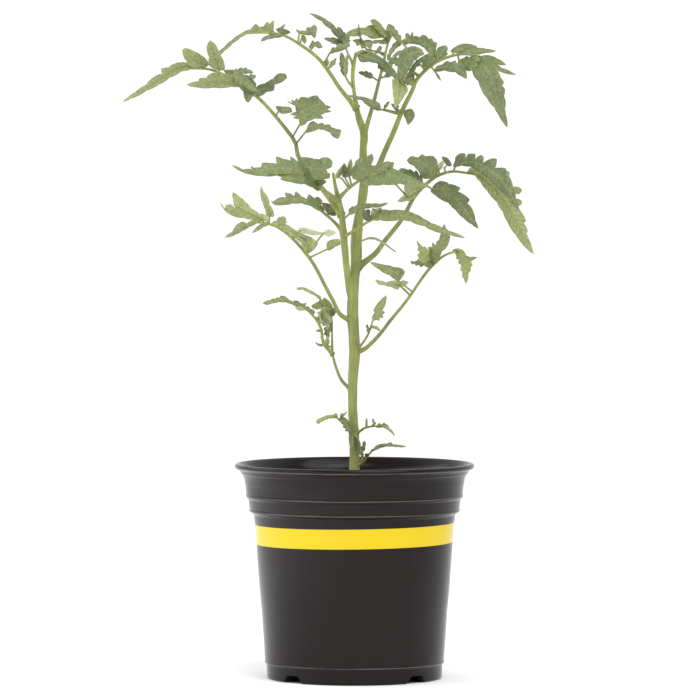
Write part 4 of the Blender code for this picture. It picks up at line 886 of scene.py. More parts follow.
def plastic_finish(settings):
    """Satin black plastic with faint dust, thin pale lines painted as highlights along the lip and ridges,
    and a printed yellow band.
    """
    made = Finish("pot_plastic", Metallic=0.0, IOR=1.46, Specular_IOR_Level=0.22)
    where = made.place()
    x, y, height = [made.axis(where, name) for name in "XYZ"]
    radius = (x * x + y * y) ** 0.5
    grain = made.noise(where, 900.0, 2.0)
    streak = made.noise(made.place(1.0, 1.0, 0.12), 160.0, 4.0, 0.6)
    haze = made.noise(where, 22.0, 4.0, 0.6)

    soft = 0.12 * MM
    level = height - x * settings.band_tilt + (grain - 0.5) * 0.1 * MM
    above_foot = level.ramp(settings.band_low - soft, settings.band_low + soft)
    below_top = 1.0 - level.ramp(settings.band_high - soft, settings.band_high + soft)
    mid_wall = (LIP_RADIUS - 13.2 * MM) + (height - settings.band_low) * 0.1
    band = above_foot * below_top * (radius - mid_wall).ramp(0.0, 0.6 * MM)

    outside = (radius - (height * 0.28 + 29.7 * MM)).ramp(0.0, 0.5 * MM)
    # Painted highlights: thin pale lines on the outside of the pot at those heights, broken up by the haze
    painted_highlight = 0.0
    for edge, half in PAINTED_HIGHLIGHT_LINES:
        painted_highlight = (1.0 - abs(height - edge * MM).ramp(0.3 * half * MM, half * MM)) + painted_highlight
    painted_highlight = painted_highlight * outside * haze.ramp(0.25, 0.6)

    plain = tuple(settings.plastic)
    dusty = tuple(c + 0.016 for c in plain)
    dust = (haze.ramp(0.45, 0.8) * 0.35 + streak.ramp(0.55, 0.85) * 0.25).clamped()
    body = made.mix(dust * 0.5, plain, dusty)
    # The painted highlight lines take a pale grey
    body = made.mix(painted_highlight * 0.6, body, (0.17, 0.155, 0.15))
    ink = made.mix(haze.ramp(0.3, 0.7) * 0.25, tuple(settings.band), (0.66, 0.46, 0.011))
    made.feed("Base Color", made.mix(band, body, ink))
    made.feed("Roughness", 0.12 + haze * 0.08 + streak * 0.06 + grain * 0.02)
    made.bump(grain * 0.3 + streak * 0.3 + band * 0.5, 0.02 * MM, 0.3)
    return made.material


def soil_finish(settings):
    """Moist crumbly mix, whose grains differ from dark brown to grey brown."""
    made = Finish("soil", Metallic=0.0, Specular_IOR_Level=0.25)
    where = made.place()
    patch = made.noise(where, 420.0, 4.0, 0.65)
    fibre = made.noise(made.place(1.0, 0.25, 1.0), 1500.0, 2.0)
    dark = tuple(settings.soil)
    pale = tuple(c * 2.3 + 0.02 for c in dark)
    made.feed("Base Color", made.mix(patch.ramp(0.35, 0.75), dark, pale))
    made.feed("Roughness", 0.8 + fibre * 0.18)
    made.bump(patch + fibre * 0.5, 0.5 * MM, 0.9)
    return made.material


def grain_finish():
    """Off-white porous grains."""
    made = Finish("white_grain", Metallic=0.0, Specular_IOR_Level=0.3)
    where = made.place()
    pores = made.cells(where, 2600.0)
    made.feed("Base Color", made.mix(pores.ramp(0.1, 0.5), (0.42, 0.40, 0.35), (0.78, 0.76, 0.71)))
    made.feed("Roughness", 0.85 + pores * 0.1)
    made.bump(pores, 0.2 * MM, 0.8)
    return made.material


def bark_finish():
    """Brown bark with a lengthwise grain."""
    made = Finish("bark", Metallic=0.0, Specular_IOR_Level=0.3)
    grain = made.noise(made.place(1.0, 0.2, 1.0), 1300.0, 4.0)
    made.feed("Base Color", made.mix(grain.ramp(0.35, 0.7), (0.07, 0.038, 0.02), (0.20, 0.12, 0.065)))
    made.feed("Roughness", 0.75 + grain * 0.2)
    made.bump(grain, 0.3 * MM, 0.8)
    return made.material


def stem_finish(settings):
    """Olive green skin with light lengthwise streaks and darker patches that partly paint highlights and
    shade, pale specks and a paler foot.
    """
    made = Finish("stem_green", Metallic=0.0, Specular_IOR_Level=0.3)
    where = made.place()
    streak = made.noise(made.place(1.0, 1.0, 0.08), 620.0, 4.0, 0.6)
    patch = made.noise(where, 45.0, 3.0, 0.5)
    speck = made.noise(where, 1500.0, 2.0)
    green, dark = tuple(settings.green), tuple(settings.dark_patch_shade)
    light = (0.40, 0.44, 0.11)
    # Light lengthwise streaks and dark patches, random in place, which also paint highlights and shade onto
    # the stem
    skin = made.mix(streak.ramp(0.42, 0.7) * 0.6, green, light)
    skin = made.mix(patch.ramp(0.47, 0.66) * 0.65, skin, dark)
    blush = made.noise(where, 30.0, 2.0)
    skin = made.mix(blush.ramp(0.5, 0.75) * 0.4, skin, (0.33, 0.38, 0.06))
    foot = 1.0 - made.axis(where, "Z").ramp(MIX_HIGH.z, MIX_HIGH.z + 28 * MM)
    skin = made.mix(foot * 0.35, skin, (0.42, 0.42, 0.20))
    made.feed("Base Color", made.mix(speck.ramp(0.62, 0.8) * 0.35, skin, (0.46, 0.50, 0.24)))
    made.feed("Roughness", 0.48 + patch * 0.2)
    made.bump(streak + speck * 0.4, 0.12 * MM, 0.7)
    return made.material


def hair_finish():
    """Pale hairs, some a little lighter than others."""
    made = Finish("plant_hair", Metallic=0.0, Specular_IOR_Level=0.3)
    shade = made.noise(made.place(), 300.0, 2.0)
    made.feed("Base Color", made.mix(shade.ramp(0.35, 0.65), (0.46, 0.50, 0.30), (0.66, 0.68, 0.50)))
    made.feed("Roughness", 0.5 + shade * 0.2)
    return made.material


def leaf_finish(settings):
    """Matt veined blade: dark above, lighter below partly as painted light shining through, with paler
    veins, a fine network, painted shade in its creases and blotches that are partly painted light and
    shade.
    """
    made = Finish("leaf_green", Metallic=0.0, Specular_IOR_Level=0.22, Sheen_Weight=0.08,
                  Sheen_Roughness=0.5)
    where = made.place()
    under, tone = made.attribute("under"), made.attribute("tone")
    spread = made.add("ShaderNodeUVMap", {"uv_map": "veins"})
    along, across = made.axis(spread, "X"), abs(made.axis(spread, "Y"))
    step = settings.vein_step / MM
    wobble = (made.noise(where, 170.0, 2.0) - 0.5) * 2.2
    rank = (along - across * VEIN_SLOPE + wobble) / step
    side_vein = 1.0 - rank.zigzag(0.5).ramp(0.0, 0.13)
    midrib = 1.0 - across.ramp(0.15, 0.5)
    net = 1.0 - made.cells(where, 1150.0, "DISTANCE_TO_EDGE").ramp(0.0, 0.12)
    vein = (side_vein * 0.7 + midrib + net * 0.25).clamped()
    blotch = made.noise(where, 110.0, 4.0, 0.6)
    mottle = made.noise(where, 480.0, 3.0, 0.6)
    fine = made.noise(where, 1700.0, 2.0)
    # Painted shade: a dark band beside each side vein, in the creases of the pleats
    painted_crease_shade = (rank + 0.28).zigzag(0.5).ramp(0.3, 0.5)
    # Tones over 1 turn the blade paler, partly painted light on blades that lie in shade
    pale = (tone - 1.0).clamped()
    upper = made.mix(tone, tuple(settings.upper_dark), tuple(settings.upper_light))
    below = made.mix(tone, tuple(settings.under_dark), tuple(settings.under_light))
    # Undersides take the lighter colours, partly painted light shining through the blade
    blade = made.mix(under, upper, below)
    # Random light and dark blotches and mottling, which also paint patches of light and shade onto the
    # blades
    blade = made.mix(blotch.ramp(0.35, 0.7) * 0.35, blade, (0.30, 0.34, 0.16))
    blade = made.mix((1.0 - blotch.ramp(0.25, 0.5)) * 0.3, blade, (0.09, 0.13, 0.05))
    blade = made.mix(fine.ramp(0.5, 0.8) * 0.2, blade, (0.36, 0.40, 0.26))
    # Paints the shade of the creases
    blade = made.mix(painted_crease_shade * 0.3, blade, (0.075, 0.10, 0.045))
    blade = made.mix(mottle.ramp(0.5, 0.7) * 0.28, blade, (0.40, 0.44, 0.20))
    blade = made.mix((1.0 - mottle.ramp(0.3, 0.5)) * 0.35, blade, (0.07, 0.09, 0.045))
    # Paints the paler colour, partly light on shaded blades
    blade = made.mix(pale, blade, (0.66, 0.68, 0.50))
    made.feed("Base Color", made.mix(vein * (0.22 + under * 0.3), blade, (0.44, 0.48, 0.25)))
    made.feed("Roughness", 0.55 + fine * 0.12 - vein * 0.05)
    relief = fine * 0.12 + net * (under * 0.3 - 0.15) + side_vein * (under * 1.6 - 0.8)
    made.bump(relief + mottle * 0.5, 0.16 * MM, 0.6)
    return made.material


# Mesh helpers

def written(point):
    """A written point in metres, with the plant's reach towards its front and back."""
    x, y, z = point
    return Vector((x, y * REACH, z)) * MM


def linked(name, data):
    """A new object of the given data, in the scene."""
    obj = bpy.data.objects.new(name, data)
    bpy.context.scene.collection.objects.link(obj)
    return obj


def settled(obj):
    """The object as its modifiers make it, as a plain mesh; the object goes."""
    graph = bpy.context.evaluated_depsgraph_get()
    mesh = bpy.data.meshes.new_from_object(obj.evaluated_get(graph))
    bpy.data.objects.remove(obj)
    return mesh


def finished(name, mesh, slot, *nodes):
    """A piece at the origin that rides on the plant's body and stands for the named nodes."""
    mesh.name = name
    piece = linked(name, mesh)
    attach(piece, BODY)
    if nodes:
        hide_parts(*nodes)


def smooth_route(points, values, spacing):
    """Even points along a smooth curve through the given points, with a value for each."""
    points = [Vector(p) for p in points]
    ends = [2 * points[0] - points[1]] + points + [2 * points[-1] - points[-2]]
    fine = []
    for i in range(len(points) - 1):
        p0, p1, p2, p3 = ends[i:i + 4]
        pieces = max(1, round((p2 - p1).length / spacing))
        for k in range(pieces):
            t = k / pieces
            bend = (2 * p1 + (p2 - p0) * t + (2 * p0 - 5 * p1 + 4 * p2 - p3) * t ** 2
                    + (3 * p1 - p0 - 3 * p2 + p3) * t ** 3)
            fine.append((bend / 2, values[i] + (values[i + 1] - values[i]) * t))
    fine.append((points[-1], values[-1]))
    return fine


def node_group(name, inputs):
    """A Geometry Nodes tree with a geometry input, the named inputs and a geometry output."""
    tree = bpy.data.node_groups.new(name, "GeometryNodeTree")
    sockets = {"Geometry": tree.interface.new_socket(
        name="Geometry", in_out="INPUT", socket_type="NodeSocketGeometry")}
    for label, kind in inputs:
        sockets[label] = tree.interface.new_socket(name=label, in_out="INPUT", socket_type=kind)
    tree.interface.new_socket(name="Geometry", in_out="OUTPUT", socket_type="NodeSocketGeometry")
    graph = Graph(tree)
    source = tree.nodes.new("NodeGroupInput")
    given = {label: Value(graph, source.outputs[label]) for label in sockets}
    return graph, given, {label: socket.identifier for label, socket in sockets.items()}


def end_group(graph, geometry, material):
    """Ends a tree in Realize Instances and Set Material."""
    real = graph.add("GeometryNodeRealizeInstances", inputs={"Geometry": geometry})
    dressed = graph.add("GeometryNodeSetMaterial", inputs={"Geometry": real, "Material": material})
    out = graph.tree.nodes.new("NodeGroupOutput")
    graph.tree.links.new(dressed.socket, out.inputs["Geometry"])


def run_group(obj, tree, names, values):
    """Puts the tree on the object, fills its inputs and returns the plain mesh that it makes."""
    step = obj.modifiers.new(tree.name, "NODES")
    step.node_group = tree
    for label, value in values.items():
        step[names[label]] = value
    return settled(obj)


def sweep_group():
    """Round stalks along every spline of a curve, as thick as the curve's radius says."""
    graph, given, names = node_group("stalk_sweep", (
        ("Sides", "NodeSocketInt"), ("Material", "NodeSocketMaterial")))
    ring = graph.add("GeometryNodeCurvePrimitiveCircle", inputs={
        "Resolution": given["Sides"], "Radius": 1.0})
    width = graph.add("GeometryNodeInputRadius")
    stalk = graph.add("GeometryNodeCurveToMesh", inputs={
        "Curve": given["Geometry"], "Profile Curve": ring, "Scale": width, "Fill Caps": True})
    smooth = graph.add("GeometryNodeSetShadeSmooth", inputs={
        "Geometry": stalk, "Shade Smooth": True})
    end_group(graph, smooth, given["Material"])
    return graph.tree, names


def scatter_group(name, solid):
    """Copies of one small solid all over a surface; solid(graph, given) adds that solid."""
    graph, given, names = node_group(name, (
        ("Density", "NodeSocketFloat"), ("Seed", "NodeSocketInt"), ("Size", "NodeSocketFloat"),
        ("Smallest", "NodeSocketVector"), ("Largest", "NodeSocketVector"),
        ("Lean", "NodeSocketFloat"), ("Material", "NodeSocketMaterial")))
    spots = graph.tree.nodes.new("GeometryNodeDistributePointsOnFaces")
    graph.tree.links.new(given["Geometry"].socket, spots.inputs["Mesh"])
    graph.tree.links.new(given["Density"].socket, spots.inputs["Density"])
    graph.tree.links.new(given["Seed"].socket, spots.inputs["Seed"])
    vector = {"data_type": "FLOAT_VECTOR"}
    lean = graph.add("ShaderNodeCombineXYZ", inputs={0: given["Lean"], 1: given["Lean"], 2: 3.14})
    low = graph.add("ShaderNodeVectorMath", {"operation": "SCALE"}, {0: lean, "Scale": -1.0})
    angle = graph.add("FunctionNodeRandomValue", vector, {"Min": low, "Max": lean, "Seed": 11})
    turn = graph.add("FunctionNodeEulerToRotation", inputs={"Euler": angle})
    facing = Value(graph, spots.outputs["Rotation"])
    heading = graph.add("FunctionNodeRotateRotation", {"rotation_space": "LOCAL"}, {
        "Rotation": facing, "Rotate By": turn})
    scale = graph.add("FunctionNodeRandomValue", vector, {
        "Min": given["Smallest"], "Max": given["Largest"], "Seed": 5})
    copies = graph.add("GeometryNodeInstanceOnPoints", inputs={
        "Points": Value(graph, spots.outputs["Points"]), "Instance": solid(graph, given),
        "Rotation": heading, "Scale": scale})
    end_group(graph, copies, given["Material"])
    return graph.tree, names


def hair_solid(graph, given):
    """A slim three-sided spike."""
    return graph.add("GeometryNodeMeshCone", {"fill_type": "NGON"}, {
        "Vertices": 3, "Radius Top": 0.004 * MM, "Radius Bottom": 0.045 * MM, "Depth": given["Size"]})


def pebble_solid(graph, given):
    """A small faceted pebble."""
    return graph.add("GeometryNodeMeshIcoSphere", inputs={"Radius": given["Size"], "Subdivisions": 1})


def chip_solid(graph, given):
    """A flat chip."""
    size = graph.add("ShaderNodeCombineXYZ", inputs={
        0: given["Size"], 1: given["Size"] * 2.6, 2: given["Size"] * 0.5})
    return graph.add("GeometryNodeMeshCube", inputs={"Size": size})


def widened(points):
    """Points further back move a little outwards, so that the outline holds from the eye."""
    eye = np.array(EYE)
    made = eye + (points - eye) * (1.0 - points[:, 1:2] / EYE.y)
    made[:, 1] = points[:, 1]
    return made


class Shells:
    """Closed shells gathered into one mesh, with the values that the leaf's finish reads."""

    def __init__(self):
        self.points = []
        self.faces = []
        self.under = []
        self.tone = []
        self.veins = []
        self.finish = []

    def add(self, points, faces, finish, under=0.0, tone=0.5, veins=None):
        count = len(points)
        start = sum(len(block) for block in self.points)
        self.points.append(np.asarray(points, float))
        self.faces += [[start + i for i in face] for face in faces]
        self.under.append(np.broadcast_to(under, count))
        self.tone.append(np.broadcast_to(tone, count))
        self.veins.append(np.zeros((count, 2)) if veins is None else veins)
        self.finish += [finish] * len(faces)

    def mesh(self, name, materials):
        made = bpy.data.meshes.new(name)
        made.from_pydata(widened(np.concatenate(self.points)).tolist(), [], self.faces)
        for label, values in (("under", self.under), ("tone", self.tone)):
            layer = made.attributes.new(label, "FLOAT", "POINT")
            layer.data.foreach_set("value", np.concatenate(values).astype(np.float32))
        corners = np.empty(len(made.loops), np.int32)
        made.loops.foreach_get("vertex_index", corners)
        spread = made.uv_layers.new(name="veins")
        spread.data.foreach_set("uv", np.concatenate(self.veins)[corners].astype(np.float32).ravel())
        for material in materials:
            made.materials.append(material)
        made.polygons.foreach_set("material_index", self.finish)
        made.shade_smooth()
        made.validate()
        return made


# Leaves

def blade_frame(root, tip, turn):
    """Directions of the blade's face, turned towards the front, and of its width."""
    along = (tip - root).normalized()
    up = Vector((0, 0, 1)) - along * along.z
    if up.length < 0.05:
        up = Vector((0, -1, 0)) + along * along.y
    up.normalize()
    side = along.cross(up)
    if side.y > 0:
        side.negate()
    angle = math.radians(turn)
    face = up * math.cos(angle) + side * math.sin(angle)
    return face, face.cross(along)


def blade_midrib(root, tip, face, arch):
    """Points along the arched midrib."""
    shares = np.linspace(0.0, 1.0, MIDRIB_POINTS)[:, None]
    bow = 4 * shares * (1 - shares) * arch * MM
    return np.array(root) + (np.array(tip) - np.array(root)) * shares + np.array(face) * bow


def inner_midrib(midrib, outline):
    """The midrib moved to the middle of a drawn outline, as seen from the front."""
    start, end = midrib[0, [0, 2]], midrib[-1, [0, 2]]
    chord = end - start
    chord /= np.linalg.norm(chord)
    normal = np.array([-chord[1], chord[0]])
    local = np.stack([(outline - start) @ chord, (outline - start) @ normal], axis=1)
    following = np.roll(local, -1, axis=0)
    length = float((end - start) @ chord)
    shares = np.linspace(0.0, 1.0, len(midrib))
    middles = np.zeros(len(midrib))
    for k, share in enumerate(shares[1:-1], start=1):
        place = share * length
        met = [a[1] + (b[1] - a[1]) * (place - a[0]) / (b[0] - a[0])
               for a, b in zip(local, following) if (a[0] > place) != (b[0] > place)]
        middles[k] = (min(met) + max(met)) / 2 if met else 0.0
    for _ in range(6):
        middles[1:-1] = (middles[:-2] + 2 * middles[1:-1] + middles[2:]) / 4
    flat = start + chord * (shares * length)[:, None] + normal * middles[:, None]
    return np.stack([flat[:, 0], midrib[:, 1], flat[:, 1]], axis=1)


def toothed_outline(midrib, width, teeth, cut, slant, rng):
    """Outline of a blade whose teeth lean towards its tip, in the plane seen from the front."""
    flat = midrib[:, [0, 2]]
    heading = np.gradient(flat, axis=0)
    heading /= np.linalg.norm(heading, axis=1)[:, None]
    normal = np.stack([-heading[:, 1], heading[:, 0]], axis=1)
    shares = np.linspace(0.0, 1.0, len(flat))

    def spot(share, half):
        point = [np.interp(share, shares, flat[:, k]) for k in (0, 1)]
        out = [np.interp(share, shares, normal[:, k]) for k in (0, 1)]
        return np.array(point) + np.array(out) * half

    def half_width(share):
        return 0.5 * width * MM * slant * math.sin(math.pi * min(share, 1.0) ** 0.72) ** 0.85

    sides = []
    for sign in (1, -1):
        points = []
        shift = rng.uniform(0.0, 0.5)
        for k in range(teeth):
            start = (k + shift) / (teeth + 0.7)
            peak = start + 0.82 / (teeth + 0.7)
            depth = cut * rng.uniform(0.7, 1.2)
            points.append(spot(start, sign * half_width(start) * (1 - depth)))
            points.append(spot(min(0.97, peak + 0.03), sign * half_width(peak) * rng.uniform(0.9, 1.1)))
        sides.append(points)
    return [flat[0]] + sides[0] + [flat[-1]] + sides[1][::-1]


def bulged(outline, step, bulge):
    """The outline with every side bowed outwards and divided into short steps."""
    points = [np.asarray(p, float) for p in outline]
    area = sum(a[0] * b[1] - b[0] * a[1] for a, b in zip(points, points[1:] + points[:1]))
    outward = 1.0 if area > 0 else -1.0
    fine = []
    for a, b in zip(points, points[1:] + points[:1]):
        side = b - a
        length = float(np.hypot(*side))
        count = max(1, round(length / step))
        out = np.array([side[1], -side[0]]) * outward * bulge
        fine += [a + side * k / count + out * 4 * (k / count) * (1 - k / count) for k in range(count)]
    return np.array(fine)


def inside(points, outline):
    """Which points lie inside the outline."""
    x, z = points[:, 0], points[:, 1]
    hit = np.zeros(len(points), bool)
    for (ax, az), (bx, bz) in zip(outline, np.roll(outline, -1, axis=0)):
        crosses = (az > z) != (bz > z)
        rise = bz - az if abs(bz - az) > 1e-12 else 1e-12
        hit ^= crosses & (x < (bx - ax) * (z - az) / rise + ax)
    return hit


def spaced(points, others, gap):
    """The points that keep the gap to all the others."""
    if not len(points) or not len(others):
        return points
    near = np.min(np.linalg.norm(points[:, None] - others[None], axis=2), axis=1)
    return points[near > gap]


def filled(outline, midrib, step):
    """Triangles that fill the outline, with the midrib as edges: flat points and faces."""
    low, high = outline.min(axis=0), outline.max(axis=0)
    rows = np.arange(low[1], high[1], step * 0.866)
    grid = [(x + (step / 2 if k % 2 else 0.0), z)
            for k, z in enumerate(rows) for x in np.arange(low[0], high[0] + step, step)]
    rib = midrib[inside(midrib, outline)]
    rib = spaced(rib, outline, 0.45 * step)
    grid = np.array(grid).reshape(-1, 2)
    grid = spaced(grid[inside(grid, outline)], np.concatenate([outline, rib]), 0.55 * step)
    points = np.concatenate([outline, rib, grid])
    first = len(outline)
    edges = [(i, i + 1) for i in range(first, first + len(rib) - 1)
             if np.linalg.norm(points[i + 1] - points[i]) < 3 * step]
    made = geometry.delaunay_2d_cdt(
        [Vector(p) for p in points], edges, [list(range(first))], 1, 1e-7)
    return np.array([tuple(p) for p in made[0]]), np.array([list(f) for f in made[2]], int)


def path_length(points):
    """Length of the straight pieces through the points."""
    return float(np.linalg.norm(np.diff(points, axis=0), axis=1).sum())


def beside_midrib(flat, rib):
    """Each point's share along the midrib, its distance from it and its side, 1 or -1."""
    spans = np.diff(rib, axis=0)
    offset = flat[:, None] - rib[None, :-1]
    lengths = (spans ** 2).sum(axis=1)
    share = np.clip((offset * spans[None]).sum(axis=2) / lengths, 0.0, 1.0)
    distance = np.linalg.norm(offset - share[..., None] * spans[None], axis=2)
    best = distance.argmin(axis=1)
    row = np.arange(len(flat))
    near, span = offset[row, best], spans[best]
    side = np.sign(span[:, 0] * near[:, 1] - span[:, 1] * near[:, 0])
    return (best + share[row, best]) / len(spans), distance[row, best], side


def blade_lift(settings, run, apart, rng):
    """How far a blade rises from its plane, in mm: its curl, its pleats and its wavy edges."""
    wide = np.abs(apart)
    reach = max(1.0, float(wide.max()))
    phase = (run - VEIN_SLOPE * wide) / (settings.vein_step / MM)
    crease = 1.0 - np.abs(2.0 * (phase % 1.0) - 1.0)
    swell = np.minimum(1.0, wide / (0.3 * reach))
    lift = rng.uniform(0.2, 0.5) * wide - 0.35 * apart ** 2 / reach
    lift += settings.pleat / MM * (crease - 0.5) * swell * min(1.0, reach / 5.0)
    for side in (1, -1):
        beat = rng.uniform(5.0, 9.0) + 0.5 * reach
        wave = np.sin(2 * math.pi * run / beat + rng.uniform(0.0, 6.3))
        lift += 0.2 * reach * wave * np.clip(side * apart / reach, 0.0, 1.0) ** 1.6
    return lift


def turned_faces(points, faces, wanted):
    """The faces turned to the wanted side, and the mean direction of the faces at each point."""
    corner = points[faces]
    normals = np.cross(corner[:, 1] - corner[:, 0], corner[:, 2] - corner[:, 0])
    if (normals @ wanted).sum() < 0:
        faces = faces[:, ::-1]
        normals = -normals
    at_point = np.zeros_like(points)
    for k in range(3):
        np.add.at(at_point, faces[:, k], normals)
    return faces, at_point / np.maximum(np.linalg.norm(at_point, axis=1), 1e-15)[:, None]


def thickened(points, faces, normals, thickness):
    """Two skins and the rim between them, which is thinner than the rest: points and faces."""
    total = len(points)
    edges = np.concatenate([faces[:, [0, 1]], faces[:, [1, 2]], faces[:, [2, 0]]]).tolist()
    known = {tuple(edge) for edge in edges}
    border = [edge for edge in edges if (edge[1], edge[0]) not in known]
    thick = np.full(total, thickness)
    thick[sorted({i for edge in border for i in edge})] *= 0.55
    half = normals * thick[:, None] / 2
    skins = faces.tolist() + (faces[:, ::-1] + total).tolist()
    rims = [[b, a, a + total, b + total] for a, b in border]
    return np.concatenate([points + half, points - half]), skins + rims


def blade_shell(shells, settings, midrib, outline, face, across, tone, rng):
    """A thin closed blade: its outline as seen from the front, laid on a leaning, pleated surface."""
    size = float(np.sqrt(np.prod(outline.max(axis=0) - outline.min(axis=0))))
    step = min(settings.grain, max(0.3 * MM, size / 11))
    rib = midrib[:, [0, 2]]
    shares = np.linspace(0.0, 1.0, len(rib))
    even = np.linspace(0, 1, max(4, int(path_length(rib) / step)))
    edge_rib = np.stack([np.interp(even, shares, rib[:, k]) for k in (0, 1)], axis=1)
    flat, faces = filled(bulged(outline, step * 0.8, 0.055), edge_rib, step)

    along, distance, side = beside_midrib(flat, rib)
    slant = np.array([across.x, across.z])
    ahead = rib[-1] - rib[0]
    sense = np.sign(ahead[0] * slant[1] - ahead[1] * slant[0]) or 1.0
    apart = distance * side * sense / max(0.4, float(np.hypot(*slant)))
    run = along * path_length(midrib) / MM
    above = 1.0 if face.z >= 0 else -1.0
    depth = np.interp(along, shares, midrib[:, 1]) + apart * across.y
    depth += face.y * above * blade_lift(settings, run, apart / MM, rng) * MM
    points = np.stack([flat[:, 0], depth, flat[:, 1]], axis=1)

    faces, normals = turned_faces(points, faces, np.array(face) * above)
    under = np.repeat([0.0, 1.0], len(points))
    veins = np.tile(np.stack([run, apart / MM], axis=1), (2, 1))
    shells.add(*thickened(points, faces, normals, settings.thickness), 0, under, tone, veins)


def nearest_on_route(route, target):
    """The point of the route's straight pieces that lies nearest to the target."""
    found = []
    for near, far in zip(route, route[1:]):
        share = geometry.intersect_point_line(target, near, far)[1]
        found.append(near.lerp(far, min(1.0, max(0.0, share))))
    return min(found, key=lambda point: (point - target).length)


def petiole_route(plan):
    """The petiole's fine route, which starts inside the stem and flares at its foot."""
    points = [written(p) for p in plan["route"]]
    first, last = plan["half"]
    count = len(points)
    halves = [(first + (last - first) * (i / (count - 1)) ** 0.8) * MM for i in range(count)]
    route = smooth_route(points, halves, 2.2 * MM)
    flared, travelled = [], 0.0
    for k, (point, half) in enumerate(route):
        if k:
            travelled += (point - route[k - 1][0]).length
        flared.append((point, half * (1 + 0.6 * math.exp(-travelled / (2.4 * MM)))))
    return flared


def stalk_route(seat, root, midrib, face):
    """A short stalk from the petiole that runs on below the blade as its tapering midrib."""
    above = 1.0 if face.z >= 0 else -1.0
    under = face * (-above * 0.16 * MM)
    ribs = [Vector(p) + under for p in midrib[1:-2:2]]
    count = len(ribs)
    points = [seat] if (root - seat).length < 1.0 * MM else [seat, seat.lerp(root, 0.5), root]
    halves = [0.5 * MM] * len(points)
    for k, rib in enumerate(ribs):
        points.append(rib)
        halves.append((0.42 - 0.34 * k / max(1, count - 1)) * MM)
    return list(zip(points, halves))


def stalk_curve(name, routes):
    """One curve with a spline for each route of (point, half thickness) pairs."""
    curve = bpy.data.curves.new(name, "CURVE")
    curve.dimensions = "3D"
    for route in routes:
        spline = curve.splines.new("POLY")
        spline.points.add(len(route) - 1)
        for knot, (point, half) in zip(spline.points, route):
            knot.co = (*point, 1.0)
            knot.radius = half
    return linked(name, curve)


def swept(name, routes, material, sides):
    """The plain mesh of round stalks along the routes."""
    tree, names = TREES["sweep"]
    values = {"Sides": sides, "Material": material}
    return run_group(stalk_curve(name, routes), tree, names, values)


def mesh_arrays(mesh):
    """A mesh's points as an array and its faces as lists."""
    points = np.empty(len(mesh.vertices) * 3, np.float32)
    mesh.vertices.foreach_get("co", points)
    return points.reshape(-1, 3), [list(face.vertices) for face in mesh.polygons]


def leaf_piece(name, plan, leaf, stem, finishes, seed):
    """One compound leaf: its petiole, stalks and blades as closed shells of one mesh."""
    rng = random.Random(seed)
    petiole = petiole_route(plan)
    seats = [point for point, half in petiole]
    routes, shells = [petiole], Shells()
    for root, tip, turn, arch, tone, shape in plan["blades"]:
        root, tip = written(root), written(tip)
        face, across = blade_frame(root, tip, turn)
        midrib = blade_midrib(root, tip, face, arch)
        if len(shape) == 3 and not isinstance(shape[0], tuple):
            slant = max(0.35, float(np.hypot(across.x, across.z)))
            outline = np.array(toothed_outline(midrib, *shape, slant, rng))
        else:
            outline = np.array(shape, float) * MM
            midrib = inner_midrib(midrib, outline)
        blade_shell(shells, leaf, midrib, outline, face, across, tone, rng)
        routes.append(stalk_route(nearest_on_route(seats, root), root, midrib, face))
    stalks = swept(name + "_stalks", routes, finishes["stem"], stem.sides)
    shells.add(*mesh_arrays(stalks), 1)
    mesh = shells.mesh(name, (finishes["leaf"], finishes["stem"]))
    finished(name + "_blades", mesh, "leaf_green", name)
    return stalks


def joined(meshes):
    """One mesh of all the given meshes."""
    made = Shells()
    for mesh in meshes:
        made.add(*mesh_arrays(mesh), 0)
    return made.mesh("joined", ())


# Pot

def arc(centre, radius, start, end, count):
    """Profile points on an arc, angles in degrees from outwards to up."""
    angles = [math.radians(start + (end - start) * k / count) for k in range(count + 1)]
    return [(centre[0] + radius * math.cos(a), centre[1] + radius * math.sin(a)) for a in angles]


def rounded(profile, radius, count=4):
    """The profile with every inner corner rounded."""
    made = [profile[0]]
    for before, corner, after in zip(profile, profile[1:], profile[2:]):
        corner = Vector(corner)
        back, ahead = Vector(before) - corner, Vector(after) - corner
        cut = min(radius, back.length * 0.45, ahead.length * 0.45)
        start, end = corner + back.normalized() * cut, corner + ahead.normalized() * cut
        for k in range(count + 1):
            t = k / count
            made.append(tuple(start * (1 - t) ** 2 + corner * 2 * t * (1 - t) + end * t ** 2))
    return made + [profile[-1]]


def pot_profile():
    """The pot's section as (radius, height): up the inner side, over the lip, down the outer side."""
    inner = [(0.0, 1.6), (45.2, 1.6), (46.6, 14.0), (48.0, 36.0), (50.2, 64.0), (51.7, 85.0),
             (53.6, 89.6), (54.4, 95.0), (56.0, 98.2), (57.0, 104.0), (58.2, 108.6), (60.0, 112.6)]
    lip = arc((62.0, 112.5), 1.5, 130, -70, 10)
    outer = [(62.3, 111.0), (61.2, 110.6), (60.7, 110.0), (60.3, 109.0), (59.5, 108.2), (59.0, 107.2),
             (58.5, 106.0), (57.8, 101.9), (57.4, 97.6), (57.7, 96.8), (57.3, 96.0), (56.3, 95.2),
             (55.8, 91.2), (55.6, 89.7), (55.9, 89.0), (55.4, 88.3), (54.2, 87.6), (53.4, 86.6),
             (52.6, 80.0), (51.5, 63.7), (50.3, 46.7), (49.3, 36.0), (48.2, 20.0), (47.7, 12.5),
             (47.5, 9.4), (47.8, 8.8), (47.3, 8.2), (46.7, 7.6), (46.3, 0.8), (45.6, 0.0),
             (40.0, 0.0), (39.4, 0.35), (0.0, 0.35)]
    smooth = rounded(inner, 0.8) + lip + rounded(outer, 0.4)
    return [(r * MM, z * MM) for r, z in smooth]


